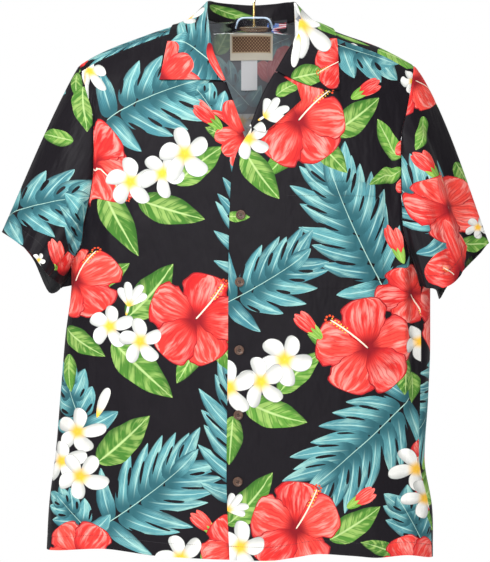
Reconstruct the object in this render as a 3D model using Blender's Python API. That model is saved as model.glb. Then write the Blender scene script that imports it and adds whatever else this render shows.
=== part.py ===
"""Short-sleeved camp-collar shirt, filled out as it hangs on a clear shaped hanger.

Metres, +Z up, the front faces -Y and +X is the wearer's left.  The origin is the seat of
the hanger's hook, where the wire rests on a rail.  Heights in the tables are above the hem
line, which is what a maker measures, and `world` moves them down to the frame.
"""
import math

import bmesh
import bpy
import numpy as np

# ---------------------------------------------------------------- driving sizes (metres)
HANG_DROP = 0.845          # from the hook's seat down to the hem line
WALL = 0.0012              # cloth wall
GAP = 0.0003               # between two pieces at a seam
SQUARENESS = 2.5           # exponent of the body's rounded sections
SHOULDER_FRONT = 0.13      # drop in which the front reaches its full depth
SHOULDER_BACK = 0.15       # the same behind
YOKE_FRONT_DROP = 0.014    # front yoke seam below the shoulder line
YOKE_SEAM_HEIGHT = 0.650   # back yoke seam
NECK_RIGHT_X = -0.078      # side neck points, wearer's right and left
NECK_LEFT_X = 0.074
LAP_WIDTH = 0.032          # how far the fronts overlap
LAP_RAMP = 0.020           # stretch in which the under front steps in
BUTTON_RADIUS = 0.0068
BUTTON_HEIGHT = 0.0030
WIRE_RADIUS = 0.0018
HOOK_RADIUS = 0.0205       # middle line of the hook's bend
COLLAR_WALL = 0.0014
FOLD_RADIUS = 0.0010       # inside of a turned fold
BACK_NECK_TURN = 26.0      # degrees over the shoulder line at which the neckline runs behind
SLEEVE_BULGE = 0.014       # the sleeve's crown over a straight line from cap to hem
NECK_MIDDLE = np.array([-0.002, -0.035, 0.760])

# ------------------------------------------------------------- rows and columns of the grids
FRONT_ROWS_LOW = 11        # below the underarm
FRONT_ROWS_HIGH = 13       # above it
FRONT_COLUMNS = 15
BACK_ROWS_HIGH = 11
UNDERARM_CROWDING = 1.5    # rows of the back crowd towards the underarm
BACK_COLUMNS = 25
YOKE_ROWS = 9
SHOULDER_COLUMNS = 9
NECK_COLUMNS = 13
SLEEVE_ROWS = 11
COLLAR_COLUMNS = 31
STAND_ROWS = 4
TURN_STEPS = 4
FALL_ROWS = 8
FRONT_PLACES = 2.6         # places of the collar's table that lie along each front
LAPEL_COLUMNS = 7
POCKET_POINTS = 12
LABEL_COLUMNS = 5
LABEL_ROWS = 4
BUTTON_SIDES = 18
HANGER_SIDES = 14
RECESS_SIDES = 24

CLOTH_BLACK = (0.017, 0.013, 0.019, 1.0)
COCONUT = (0.115, 0.060, 0.038, 1.0)
CLEAR = (0.80, 0.84, 0.86, 1.0)
GOLD = (0.83, 0.60, 0.26, 1.0)
LABEL_BROWN = (0.150, 0.075, 0.045, 1.0)
LABEL_WHITE = (0.86, 0.86, 0.84, 1.0)


class Table:
    """Rows of named columns, read along the first column with a smooth curve."""

    def __init__(self, columns, rows, period=None):
        names = columns.split()
        data = np.array(rows, dtype=float)
        order = np.argsort(data[:, 0])
        data = data[order]
        if period:
            before, after = data[-2:].copy(), data[:2].copy()
            before[:, 0] -= period
            after[:, 0] += period
            data = np.vstack([before, data, after])
        self.key = data[:, 0]
        self.values = {name: data[:, k] for k, name in enumerate(names)}

    def __call__(self, name, at):
        keys, values = self.key, self.values[name]
        at = np.clip(np.asarray(at, dtype=float), keys[0], keys[-1])
        steps = np.diff(keys)
        rises = np.diff(values) / steps
        slopes = np.concatenate([rises[:1], (rises[1:] + rises[:-1]) / 2, rises[-1:]])
        turning = np.concatenate([[False], rises[1:] * rises[:-1] <= 0, [False]])
        slopes = np.where(turning, 0.0, slopes)
        k = np.clip(np.searchsorted(keys, at, side="right") - 1, 0, len(steps) - 1)
        t = (at - keys[k]) / steps[k]
        t2, t3 = t * t, t * t * t
        return ((2 * t3 - 3 * t2 + 1) * values[k] + (t3 - 2 * t2 + t) * steps[k] * slopes[k]
                + (3 * t2 - 2 * t3) * values[k + 1] + (t3 - t2) * steps[k] * slopes[k + 1])


# The filled body: outline at each side, and depth in front of and behind the side line.
SECTIONS = Table("height right left front back", [
    (0.000, -0.298, 0.257, 0.086, 0.082),
    (0.070, -0.294, 0.256, 0.088, 0.084),
    (0.141, -0.285, 0.245, 0.092, 0.088),
    (0.228, -0.278, 0.250, 0.096, 0.093),
    (0.314, -0.271, 0.253, 0.099, 0.097),
    (0.400, -0.262, 0.253, 0.100, 0.100),
    (0.480, -0.262, 0.252, 0.099, 0.102),
    (0.560, -0.264, 0.252, 0.097, 0.104),
    (0.640, -0.268, 0.254, 0.094, 0.104),
    (0.720, -0.272, 0.256, 0.090, 0.100),
    (0.800, -0.274, 0.258, 0.086, 0.096)])

SHOULDER_LINE = Table("x height", [
    (-0.280, 0.690), (-0.251, 0.7095), (-0.222, 0.726), (-0.164, 0.749), (-0.120, 0.764),
    (-0.078, 0.775), (0.000, 0.780), (0.085, 0.770), (0.124, 0.755), (0.181, 0.7345),
    (0.210, 0.720), (0.2293, 0.709), (0.260, 0.686)])

# Armhole seams, as the angle round the body from its centre front.
ARMHOLE_RIGHT = Table("height front back", [
    (0.412, 92.0, 92.0), (0.443, 68.8, 108.0), (0.482, 63.1, 114.0), (0.506, 59.6, 117.5),
    (0.541, 55.9, 121.0), (0.628, 54.3, 122.5), (0.654, 57.3, 120.0), (0.7095, 64.5, 115.5)])
ARMHOLE_LEFT = Table("height front back", [
    (0.393, 66.6, 66.6), (0.403, 64.0, 75.0), (0.417, 60.8, 87.0), (0.437, 57.0, 102.0),
    (0.4665, 52.6, 115.0),
    (0.5225, 51.4, 123.0), (0.600, 51.2, 124.0), (0.6255, 53.7, 122.0), (0.669, 57.7, 119.0),
    (0.709, 61.3, 118.7)])
SIDE_SEAM = Table("height right left", [
    (0.000, 92.0, 82.0), (0.141, 92.0, 72.0), (0.393, 92.0, 66.6), (0.412, 92.0, 66.6)])

# Free edges of the two fronts: the closing edge, the roll line of the lapel, the neckline.
FRONT_EDGE_LEFT = Table("height x", [
    (0.000, -0.0344), (0.121, -0.0386), (0.304, -0.0365), (0.497, -0.0342), (0.550, -0.0310),
    (0.566, -0.0275), (0.585, -0.0195), (0.6064, -0.0060), (0.655, 0.0147), (0.692, 0.0358),
    (0.730, 0.0580), (0.760, 0.0740)])
FRONT_EDGE_RIGHT = Table("height x", [
    (0.000, -0.0024), (0.121, -0.0066), (0.304, -0.0045), (0.497, -0.0022), (0.560, -0.0022),
    (0.580, -0.0060), (0.601, -0.0148), (0.640, -0.0300), (0.676, -0.0436), (0.720, -0.0620),
    (0.762, -0.0780)])
HEM = Table("x front back", [
    (-0.298, 0.0155, 0.0155), (-0.215, 0.0240, 0.0190), (-0.130, 0.0165, 0.0150),
    (-0.040, 0.0118, 0.0170), (0.020, 0.0103, 0.0135), (0.055, 0.0145, 0.0120),
    (0.090, 0.0186, 0.0140), (0.140, 0.0155, 0.0170), (0.175, 0.0123, 0.0130),
    (0.210, 0.0135, 0.0120), (0.257, 0.0045, 0.0045)])

# Large soft folds of the body: a row for each, its line, reach and depth (minus is a trough).
FOLDS = "face x_low x_high low high width depth"
BODY_FOLDS = [dict(zip(FOLDS.split(), row)) for row in [
    ("front", 0.2160, 0.2060, 0.16, 0.52, 0.012, 0.0050),
    ("front", 0.2330, 0.2260, 0.14, 0.46, 0.011, -0.0060),
    ("front", 0.0850, 0.0950, -0.10, 0.20, 0.024, -0.0050),
    ("front", 0.1700, 0.1600, -0.10, 0.26, 0.024, 0.0040),
    ("front", -0.2150, -0.1900, -0.10, 0.22, 0.022, -0.0050),
    ("front", -0.1300, -0.1350, -0.10, 0.24, 0.024, 0.0030),
    ("back", -0.1500, -0.1250, -0.10, 0.40, 0.026, -0.0060),
    ("back", -0.0500, -0.0450, -0.10, 0.34, 0.026, 0.0050),
    ("back", 0.0600, 0.0450, -0.10, 0.38, 0.026, -0.0060),
    ("back", 0.1550, 0.1350, -0.10, 0.32, 0.024, 0.0050),
    ("back", 0.2150, 0.2050, 0.05, 0.50, 0.016, -0.0050)]]

# Sleeve hems, by angle round the opening: 0 is its outer top, 90 its front.
SLEEVE_HEM_RIGHT = Table("angle x y height", [
    (0, -0.3630, 0.000, 0.4696), (45, -0.3370, -0.052, 0.4555), (90, -0.3080, -0.078, 0.4340),
    (120, -0.2940, -0.070, 0.4140), (150, -0.2860, -0.044, 0.4020), (180, -0.2775, -0.004, 0.3920),
    (215, -0.2970, 0.045, 0.3800), (245, -0.3220, 0.072, 0.4250), (270, -0.3380, 0.078, 0.4450),
    (315, -0.3560, 0.050, 0.4630)], period=360)
SLEEVE_HEM_LEFT = Table("angle x y height", [
    (0, 0.3384, 0.000, 0.4537), (30, 0.2990, -0.034, 0.4260), (55, 0.2890, -0.062, 0.4060),
    (90, 0.2640, -0.086, 0.3900), (115, 0.2420, -0.086, 0.3890), (138, 0.2300, -0.070, 0.3900),
    (160, 0.2560, -0.034, 0.3845), (180, 0.2650, -0.003, 0.3750), (210, 0.2680, 0.030, 0.3713),
    (240, 0.2860, 0.062, 0.3920), (270, 0.3080, 0.074, 0.4120), (315, 0.3310, 0.048, 0.4380)],
    period=360)
SLEEVE_FOLDS = "side angle_cap angle_hem width depth"
SLEEVE_CREASES = [dict(zip(SLEEVE_FOLDS.split(), row)) for row in [
    ("right", 118.0, 150.0, 16.0, -0.0050),
    ("right", 92.0, 122.0, 16.0, 0.0040),
    ("right", 285.0, 240.0, 20.0, -0.0050),
    ("left", 60.0, 32.0, 16.0, 0.0050),
    ("left", 125.0, 150.0, 16.0, -0.0040),
    ("left", 200.0, 200.0, 28.0, -0.0030),
    ("left", 290.0, 262.0, 20.0, -0.0050)]]

# Collar: seam under it, top of its fold and its outer edge, from one gorge round to the other.
COLLAR = Table("place fold_x fold_y fold_h edge_x edge_y edge_h sag", [
    (0.0, -0.0440, -0.093, 0.6770, -0.1320, -0.085, 0.6790, 0.001),
    (1.0, -0.0560, -0.076, 0.7180, -0.1250, -0.066, 0.7080, 0.0),
    (2.0, -0.0645, -0.048, 0.7590, -0.1170, -0.036, 0.7380, 0.0),
    (3.0, -0.0655, -0.010, 0.7960, -0.1100, 0.004, 0.7640, 0.0),
    (4.0, -0.0580, 0.024, 0.8060, -0.0960, 0.046, 0.7560, 0.0),
    (5.0, -0.0330, 0.044, 0.8060, -0.0520, 0.074, 0.7420, 0.0),
    (6.0, -0.0020, 0.050, 0.8050, -0.0020, 0.078, 0.7380, 0.0),
    (7.0, 0.0290, 0.044, 0.8060, 0.0480, 0.074, 0.7410, 0.0),
    (8.0, 0.0500, 0.024, 0.8050, 0.0900, 0.046, 0.7520, 0.0),
    (9.0, 0.0570, -0.010, 0.7950, 0.1060, 0.004, 0.7560, 0.0),
    (10.0, 0.0570, -0.046, 0.7520, 0.1120, -0.036, 0.7300, -0.004),
    (11.0, 0.0480, -0.070, 0.7180, 0.1150, -0.064, 0.6960, -0.010),
    (12.0, 0.0358, -0.088, 0.6900, 0.1175, -0.082, 0.6690, -0.016)])
COLLAR_LIFT = 0.0030       # the fall's inner face above what it lies on

# Lapels: share along the roll line from its bottom, and the outer outline's x and height.
LAPEL_TIP = 0.76
LAPEL_OUTLINE = {
    "right": [(0.0, -0.0190, 0.5995), (0.40, -0.0435, 0.6200), (LAPEL_TIP, -0.0823, 0.6540),
              (1.0, -0.0772, 0.6735)],
    "left": [(0.0, 0.0020, 0.6060), (0.12, 0.0147, 0.6050), (0.35, 0.0258, 0.6138),
             (LAPEL_TIP, 0.0646, 0.6485), (1.0, 0.0577, 0.6715)]}
ROLL_LINE = {"right": (0.6030, 0.6755), "left": (0.6095, 0.6890)}
LAPEL_LIFT = 0.0032

POCKET = {"x_low": 0.0437, "x_high": 0.1787, "low": 0.3893, "high": 0.5359, "cut": 0.016}
BUTTON_HEIGHTS = (0.4903, 0.3976, 0.3036, 0.2137, 0.1211)
BUTTON_INSET = 0.0155      # from the closing edge to a button's middle
BUTTON_PROFILE = [         # share of the radius, share of the height
    (0.84, 0.0), (1.0, 0.30), (1.0, 0.66), (0.90, 1.0), (0.72, 0.94), (0.58, 0.60)]

NECK_LABEL = {"x": -0.0035, "width": 0.063, "height": 0.035}
CARE_LABEL = {"x": -0.0067, "width": 0.024, "height": 0.043}
FLAG_TAG = {"x": 0.0390, "width": 0.022, "height": 0.016}
TAG_STANDOFF = 0.0032
TAG_SHARE_BELOW = 0.6      # share of the flag tag that hangs below the seam
LABEL_WALL = 0.0010
LABEL_DROP = 0.0015        # the labels hang this far below the neck seam

# Hanger: centre height under the shoulder line, half height and half depth of its sections.
HANGER = Table("x drop half_height half_depth", [
    (-0.2130, 0.0150, 0.0050, 0.0080), (-0.2050, 0.0150, 0.0085, 0.0150),
    (-0.1800, 0.0155, 0.0100, 0.0185), (-0.1200, 0.0155, 0.0095, 0.0150),
    (-0.0700, 0.0150, 0.0080, 0.0110), (0.0, 0.0160, 0.0075, 0.0100),
    (0.0700, 0.0150, 0.0080, 0.0110), (0.1150, 0.0155, 0.0095, 0.0150),
    (0.1720, 0.0155, 0.0100, 0.0185), (0.1940, 0.0150, 0.0085, 0.0150),
    (0.2020, 0.0150, 0.0050, 0.0080)])
HANGER_PLACES = [          # first x, last x and count of each run of sections
    (-0.213, -0.198, 4), (-0.185, -0.045, 10), (-0.030, 0.030, 13), (0.045, 0.175, 10),
    (0.187, 0.202, 4)]
HANGER_SQUARENESS = 0.7
CAP = {"half_x": 0.0270, "half_y": 0.0190, "low": 0.7575, "high": 0.7770, "wall_x": 0.0060,
       "wall_y": 0.0036, "floor": 0.0060}

# Hook: angles of the bend's start and end, and the straight it leaves the stem by.
HOOK = {"lead": -52.0, "end": 195.0, "below": 0.006, "sweep": 0.010, "steps": 22,
        "sweep_steps": 6, "stem_steps": 4}


def world(points):
    """Drop points given by their height above the hem into the frame of the hook's seat."""
    points = np.array(points, dtype=float)
    points[..., 2] -= HANG_DROP
    return points


def smooth(t):
    """Ease from 0 to 1."""
    t = np.clip(t, 0.0, 1.0)
    return t * t * (3 - 2 * t)


def signed_power(value, power):
    return np.sign(value) * np.abs(value) ** power


# ------------------------------------------------------------------------ the body's form
def centre(height):
    return (SECTIONS("left", height) + SECTIONS("right", height)) / 2


def half_width(height):
    return (SECTIONS("left", height) - SECTIONS("right", height)) / 2


def x_at_angle(angle, height):
    """X on the body's section at an angle from its centre front; minus is wearer's right."""
    radians = np.radians(angle)
    return centre(height) + half_width(height) * signed_power(np.sin(radians), 2 / SQUARENESS)


def angle_at_x(x, height):
    """Angle from the centre front of the body's section at a given X on its front."""
    share = (x - centre(height)) / half_width(height)
    return np.degrees(np.arcsin(signed_power(share, SQUARENESS / 2)))


def fold_depth(x, height, face):
    total = np.zeros(np.broadcast(x, height).shape)
    for row in BODY_FOLDS:
        if row["face"] != face:
            continue
        t = (height - row["low"]) / (row["high"] - row["low"])
        line = row["x_low"] + (row["x_high"] - row["x_low"]) * t
        reach = np.sin(math.pi * np.clip(t, 0, 1)) ** 2
        total = total + row["depth"] * reach * np.exp(-((x - line) / row["width"]) ** 2)
    return total


def face_depth(x, height, face):
    """How far the front or back face stands from the side line at a place on it."""
    across = np.clip(np.abs(x - centre(height)) / half_width(height), 0.0, 1.0)
    full = SECTIONS(face, height) * (1 - across ** SQUARENESS) ** (1 / SQUARENESS)
    rounding = SHOULDER_FRONT if face == "front" else SHOULDER_BACK
    t = np.clip((SHOULDER_LINE("height", x) - height) / rounding, 0.0, 1.0)
    shoulder = np.sqrt(1 - (1 - t) ** 2)
    fullness = np.clip(full / SECTIONS(face, height) / 0.5, 0.0, 1.0)
    return full * shoulder + fold_depth(x, height, face) * fullness * shoulder


def on_body(x, height, face):
    """Points of the body's outer surface at (x, height) on its front or back face."""
    x, height = np.broadcast_arrays(np.asarray(x, float), np.asarray(height, float))
    sign = -1.0 if face == "front" else 1.0
    return np.stack([x, sign * face_depth(x, height, face), height], axis=-1)


def over_shoulder(x, turn):
    """Points over the shoulder line: turn -90 is the full front face, +90 the full back."""
    x, turn = np.broadcast_arrays(np.asarray(x, float), np.radians(np.asarray(turn, float)))
    rounding = np.where(turn < 0, SHOULDER_FRONT, SHOULDER_BACK)
    height = SHOULDER_LINE("height", x) - rounding * (1 - np.cos(turn))
    depth = np.where(turn < 0, -face_depth(x, height, "front"), face_depth(x, height, "back"))
    return np.stack([x, depth, height], axis=-1)


def armhole_x(side, face, height):
    """X of the armhole seam on one side and face of the body."""
    table = ARMHOLE_RIGHT if side == "right" else ARMHOLE_LEFT
    angle = table(face, height) * (-1 if side == "right" else 1)
    return x_at_angle(angle, height)


# ------------------------------------------------------------------------------- grids
def grid_normals(grid, closed=False):
    """Unit normals of a grid of points, rows along the first axis."""
    if closed:
        along = np.roll(grid, -1, axis=1) - np.roll(grid, 1, axis=1)
    else:
        along = np.gradient(grid, axis=1)
    up = np.gradient(grid, axis=0)
    normals = np.cross(along, up)
    return normals / np.maximum(np.linalg.norm(normals, axis=-1, keepdims=True), 1e-12)


def pull_back(grid, edge, distance):
    """Draw one edge of a grid back into it, so that it stands clear of its neighbour."""
    grid = grid.copy()
    first, second = {"left": (np.s_[:, 0], np.s_[:, 1]), "right": (np.s_[:, -1], np.s_[:, -2]),
                     "low": (np.s_[0], np.s_[1]), "high": (np.s_[-1], np.s_[-2])}[edge]
    step = grid[second] - grid[first]
    length = np.linalg.norm(step, axis=-1, keepdims=True)
    grid[first] = grid[first] + step / np.maximum(length, 1e-9) * np.minimum(distance, length / 2)
    return grid


def unit(vectors):
    return vectors / np.maximum(np.linalg.norm(vectors, axis=-1, keepdims=True), 1e-12)


# --------------------------------------------------------------------------- materials
def plain_material(name, color, roughness=0.85, metallic=0.0):
    material = bpy.data.materials.new(name)
    material.use_nodes = True
    shader = material.node_tree.nodes["Principled BSDF"]
    shader.inputs["Base Color"].default_value = color
    shader.inputs["Roughness"].default_value = roughness
    shader.inputs["Metallic"].default_value = metallic
    material.diffuse_color = color
    return material


# ------------------------------------------------------------------------------ solids
def new_object(name, vertices, faces, material):
    mesh = bpy.data.meshes.new(name)
    mesh.from_pydata([tuple(v) for v in world(vertices)], [], faces)
    mesh.validate()
    shape = bmesh.new()
    shape.from_mesh(mesh)
    bmesh.ops.recalc_face_normals(shape, faces=shape.faces)
    bmesh.ops.triangulate(shape, faces=shape.faces)
    if shape.calc_volume(signed=True) < 0:
        bmesh.ops.reverse_faces(shape, faces=shape.faces)
    shape.to_mesh(mesh)
    shape.free()
    mesh.shade_smooth()
    mesh.set_sharp_from_angle(angle=math.radians(40))
    mesh.materials.append(material)
    item = bpy.data.objects.new(name, mesh)
    bpy.context.scene.collection.objects.link(item)
    return item


def wall(name, outer, inward, thickness, material, closed=False):
    """Close a grid of outer points into a cloth wall; `inward` points through the wall."""
    rows, columns = outer.shape[:2]
    inner = outer + inward * thickness
    vertices = np.concatenate([outer.reshape(-1, 3), inner.reshape(-1, 3)])
    offset = rows * columns
    faces = []
    last = columns if closed else columns - 1
    for i in range(rows - 1):
        for j in range(last):
            k = (j + 1) % columns
            a, b, c, d = i * columns + j, i * columns + k, (i + 1) * columns + k, (i + 1) * columns + j
            faces.append((a, b, c, d))
            faces.append((offset + d, offset + c, offset + b, offset + a))
    for row in (0, rows - 1):
        for j in range(last):
            a, b = row * columns + j, row * columns + (j + 1) % columns
            quad = (b, a, offset + a, offset + b)
            faces.append(quad if row == 0 else quad[::-1])
    if not closed:
        for column in (0, columns - 1):
            for i in range(rows - 1):
                a, b = i * columns + column, (i + 1) * columns + column
                quad = (a, b, offset + b, offset + a)
                faces.append(quad if column == 0 else quad[::-1])
    return new_object(name, vertices, faces, material)


# -------------------------------------------------------------------------- body panels
def underarm(side):
    table = ARMHOLE_RIGHT if side == "right" else ARMHOLE_LEFT
    return table.key[0]


def shoulder_tip(side):
    table = ARMHOLE_RIGHT if side == "right" else ARMHOLE_LEFT
    return table.key[-1]


def yoke_front_end(side):
    """Height at which the front yoke seam meets the armhole."""
    height = shoulder_tip(side) - YOKE_FRONT_DROP
    for _ in range(6):
        height = SHOULDER_LINE("height", armhole_x(side, "front", height)) - YOKE_FRONT_DROP
    return float(height)


def front_grid(side):
    """Outer points of one front: rows from hem to yoke seam, columns from edge to side."""
    sign = -1 if side == "right" else 1
    edge = FRONT_EDGE_RIGHT if side == "right" else FRONT_EDGE_LEFT
    near = np.array([0.0, LAP_WIDTH / 2, LAP_WIDTH, LAP_WIDTH + LAP_RAMP / 2, LAP_WIDTH + LAP_RAMP])
    rest = FRONT_COLUMNS - len(near)
    rows = []
    for v in np.linspace(0, 1, FRONT_ROWS_LOW):
        level = underarm(side) * v
        end = SIDE_SEAM(side, level) * sign
        start = angle_at_x(edge("x", level) + sign * near, level)
        rows.append(body_ring(np.append(start, np.linspace(start[-1], end, rest + 1)[1:]), level, v))
    neck_x = NECK_RIGHT_X if side == "right" else NECK_LEFT_X
    top_in = SHOULDER_LINE("height", neck_x) - YOKE_FRONT_DROP
    top_out = yoke_front_end(side)
    for t in np.linspace(0, 1, FRONT_ROWS_HIGH)[1:]:
        inner = underarm(side) + (top_in - underarm(side)) * t
        outer = underarm(side) + (top_out - underarm(side)) * t
        x_in, x_out = edge("x", inner), armhole_x(side, "front", outer)
        start = x_in + sign * near
        spread = np.linspace(0, 1, rest + 1)[1:]
        x = np.append(start, start[-1] + (x_out - start[-1]) * (1 - (1 - spread) ** 1.25))
        height = inner + (outer - inner) * (x - x_in) / (x_out - x_in)
        slope = top_in + (top_out - top_in) * (x - x_in) / (x_out - x_in)
        height = height + (SHOULDER_LINE("height", x) - YOKE_FRONT_DROP - slope) * t ** 3
        rows.append(on_body(x, height, "front"))
    return np.array(rows)


def back_grid():
    """Outer points of the back panel, columns from wearer's left round to wearer's right."""
    rows = []
    share = np.linspace(0, 1, BACK_COLUMNS)
    for v in np.linspace(0, 1, FRONT_ROWS_LOW):
        level = underarm("left") + (underarm("right") - underarm("left")) * share
        level = level * v
        start, end = SIDE_SEAM("left", level[0]), 360 - SIDE_SEAM("right", level[-1])
        angle = start + (end - start) * share
        rows.append(body_ring(angle, level, v))
    for t in np.linspace(0, 1, BACK_ROWS_HIGH)[1:] ** UNDERARM_CROWDING:
        level = underarm("left") + (underarm("right") - underarm("left")) * share
        level = level + (YOKE_SEAM_HEIGHT - level) * t
        start = ARMHOLE_LEFT("back", level[0])
        end = 360 - ARMHOLE_RIGHT("back", level[-1])
        angle = start + (end - start) * share
        rows.append(body_ring(angle, level, 1.0))
    return np.array(rows)


def body_ring(angle, level, v):
    """Points at angles round the body from its centre front, over the front face as well."""
    x = x_at_angle(angle, level)
    front = np.cos(np.radians(angle)) > 0
    height = np.where(front, HEM("front", x), HEM("back", x)) * (1 - v) + level
    reach = signed_power(np.abs(np.cos(np.radians(angle))), 2 / SQUARENESS)
    side = np.where(front, -SECTIONS("front", height) * reach, SECTIONS("back", height) * reach)
    face = np.where(front, on_body(x, height, "front")[..., 1], on_body(x, height, "back")[..., 1])
    near = smooth((reach - 0.25) / 0.2)
    return np.stack([x, side + (face - side) * near, height], axis=-1)


def yoke_grid():
    """Outer points of the yoke: columns across the shoulders, rows from front to back seam."""
    right_end, left_end = yoke_front_end("right"), yoke_front_end("left")
    start_right = np.linspace(armhole_x("right", "front", right_end), NECK_RIGHT_X, SHOULDER_COLUMNS)
    start_left = np.linspace(NECK_LEFT_X, armhole_x("left", "front", left_end), SHOULDER_COLUMNS)
    neck_middle = (NECK_LEFT_X + NECK_RIGHT_X) / 2
    neck_half = (NECK_LEFT_X - NECK_RIGHT_X) / 2
    sweep = np.linspace(-math.pi / 2, math.pi / 2, NECK_COLUMNS)[1:-1]
    front_turn = -math.degrees(math.acos(1 - YOKE_FRONT_DROP / SHOULDER_FRONT))
    neck_x = neck_middle + neck_half * np.sin(sweep)
    neck_turn = front_turn + (BACK_NECK_TURN - front_turn) * np.cos(sweep)
    start_x = np.concatenate([start_right, neck_x, start_left])
    start_turn = np.concatenate([np.full(SHOULDER_COLUMNS, front_turn), neck_turn,
                                 np.full(SHOULDER_COLUMNS, front_turn)])
    columns = len(start_x)
    share = np.linspace(0, 1, columns)
    right_x = armhole_x("right", "back", YOKE_SEAM_HEIGHT)
    left_x = armhole_x("left", "back", YOKE_SEAM_HEIGHT)
    end_x = right_x + (left_x - right_x) * share
    end_turn = turn_at_height(end_x, YOKE_SEAM_HEIGHT)
    rows = []
    for r in np.linspace(0, 1, YOKE_ROWS):
        turn = start_turn + (end_turn - start_turn) * r
        x = start_x + (end_x - start_x) * smooth(r) ** 0.8
        for side, column, weight in (("right", 0, 1 - share / 0.3), ("left", -1, 1 - (1 - share) / 0.3)):
            target = armhole_at_turn(side, turn[column])
            x = x + (target - x[column]) * np.clip(weight, 0, 1) ** 2
        rows.append(over_shoulder(x, turn))
    return np.array(rows)


def turn_at_height(x, height):
    drop = SHOULDER_LINE("height", x) - height
    return np.degrees(np.arccos(np.clip(1 - drop / SHOULDER_BACK, -1, 1)))


def armhole_at_turn(side, turn):
    """X of the armhole where the surface has turned this far over the shoulder line."""
    face = "front" if turn < 0 else "back"
    rounding = SHOULDER_FRONT if turn < 0 else SHOULDER_BACK
    height = shoulder_tip(side)
    for _ in range(8):
        x = armhole_x(side, face, height)
        height = SHOULDER_LINE("height", x) - rounding * (1 - math.cos(math.radians(turn)))
        height = min(height, shoulder_tip(side))
    return float(x)


def body_inward(grid):
    """Directions into the body at the points of a panel."""
    normals = grid_normals(grid)
    outward = grid - np.array([-0.01, 0.0, 0.0])
    outward[..., 2] = 0.35 * (grid[..., 2] > 0.6)
    flip = np.sign(np.sum(normals * outward, axis=-1, keepdims=True))
    return -normals * np.where(flip == 0, 1, flip)


# ------------------------------------------------------------------------------ sleeves
def sleeve_ring(side, fronts, yoke, back):
    """Armhole points in order round the sleeve from its top, over the front, to the back."""
    front = fronts[side]["grid"][FRONT_ROWS_LOW - 1:, -1]
    if side == "right":
        yoke_edge, back_edge = yoke[:, 0], back[FRONT_ROWS_LOW:, -1]
    else:
        yoke_edge, back_edge = yoke[:, -1], back[FRONT_ROWS_LOW:, 0]
    split = int(np.argmax(yoke_edge[:, 2]))
    ring = [yoke_edge[split]]
    ring += [p for p in yoke_edge[:split][::-1]][:-1]
    ring += [p for p in front[::-1]]
    ring += [p for p in back_edge]
    ring += [p for p in yoke_edge[split + 1:][::-1]][1:]
    return np.array(ring)


def sleeve_grid(side, ring):
    """Outer points of a sleeve: rows from the armhole to the hem, columns round it."""
    hem = SLEEVE_HEM_RIGHT if side == "right" else SLEEVE_HEM_LEFT
    sign = -1 if side == "right" else 1
    middle = (ring[:, 2].max() + ring[:, 2].min()) / 2
    reach = np.where(ring[:, 1] < 0, -ring[:, 1].min(), ring[:, 1].max())
    rise = (ring[:, 2] - middle) / (ring[:, 2].max() - middle)
    angle = np.degrees(np.arctan2(-ring[:, 1] / reach, rise)) % 360
    angle[0] = 0.0
    end = np.stack([hem("x", angle), hem("y", angle), hem("height", angle)], axis=-1)
    radians = np.radians(angle)
    radial = np.stack([sign * 0.75 * np.cos(radians), -np.sin(radians), 0.66 * np.cos(radians)], axis=-1)
    rows = []
    for t in np.linspace(0, 1, SLEEVE_ROWS):
        fall = (1 - t) * ring + t * end
        crown = SLEEVE_BULGE * 4 * t * (1 - t) * (0.5 + 0.5 * np.cos(radians))[:, None]
        crease = np.zeros(len(ring))
        for row in SLEEVE_CREASES:
            if row["side"] == side:
                line = row["angle_cap"] + (row["angle_hem"] - row["angle_cap"]) * t
                crease += row["depth"] * np.exp(-((angle - line) / row["width"]) ** 2) * smooth(t / 0.25)
        rows.append(fall + radial * (crown + crease[:, None]))
    return np.array(rows)


def sleeve_inward(grid, side):
    normals = grid_normals(grid, closed=True)
    middle = grid.mean(axis=1, keepdims=True)
    flip = np.sign(np.sum(normals * (grid - middle), axis=(0, 1, 2)))
    return -normals * (flip if flip != 0 else 1)


def mitre(first, second):
    """Shared wall direction where two pieces meet, no longer than twice the wall."""
    joined = unit(first + second)
    reach = np.maximum(np.sum(joined * first, axis=-1, keepdims=True), 0.6)
    return joined / reach


# ------------------------------------------------------------------- points on the body
def form_cloud():
    """Dense points and outward normals of the body, to keep what lies on it clear."""
    x = np.linspace(-0.235, 0.225, 190)[None, :]
    turn = np.linspace(-90, 90, 150)[:, None]
    top = over_shoulder(x, turn)
    heights = np.linspace(0.36, 0.66, 80)[:, None]
    front = on_body(x, heights, "front")
    clouds = []
    for grid, guide in ((top, None), (front, (0, -1, 0))):
        normals = grid_normals(grid)
        outward = grid * np.array([0.2, 1.0, 0.0]) + np.array([0, 0, 0.05]) if guide is None \
            else np.broadcast_to(np.array(guide, float), grid.shape)
        flip = np.sign(np.sum(normals * outward, axis=-1, keepdims=True))
        clouds.append((grid.reshape(-1, 3), (normals * flip).reshape(-1, 3)))
    return np.concatenate([c[0] for c in clouds]), np.concatenate([c[1] for c in clouds])


def keep_clear(points, lift, cloud):
    """Push points outwards until they stand at least `lift` above the body."""
    places, normals = cloud
    shape = points.shape
    flat = points.reshape(-1, 3).copy()
    lifts = np.broadcast_to(lift, shape[:-1]).reshape(-1)
    for _ in range(3):
        for k, point in enumerate(flat):
            near = int(np.argmin(np.sum((places - point) ** 2, axis=1)))
            height = float(np.dot(point - places[near], normals[near]))
            if height < lifts[k]:
                flat[k] = point + (lifts[k] - height) * normals[near]
    return flat.reshape(shape)


# ------------------------------------------------------------------------ collar, lapels
def front_edge(fronts, side, height):
    """Point on the free edge of a front at a height."""
    line = fronts[side]["grid"][FRONT_ROWS_LOW:, 0]
    return np.array([np.interp(height, line[:, 2], line[:, k]) for k in range(3)])


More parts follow.
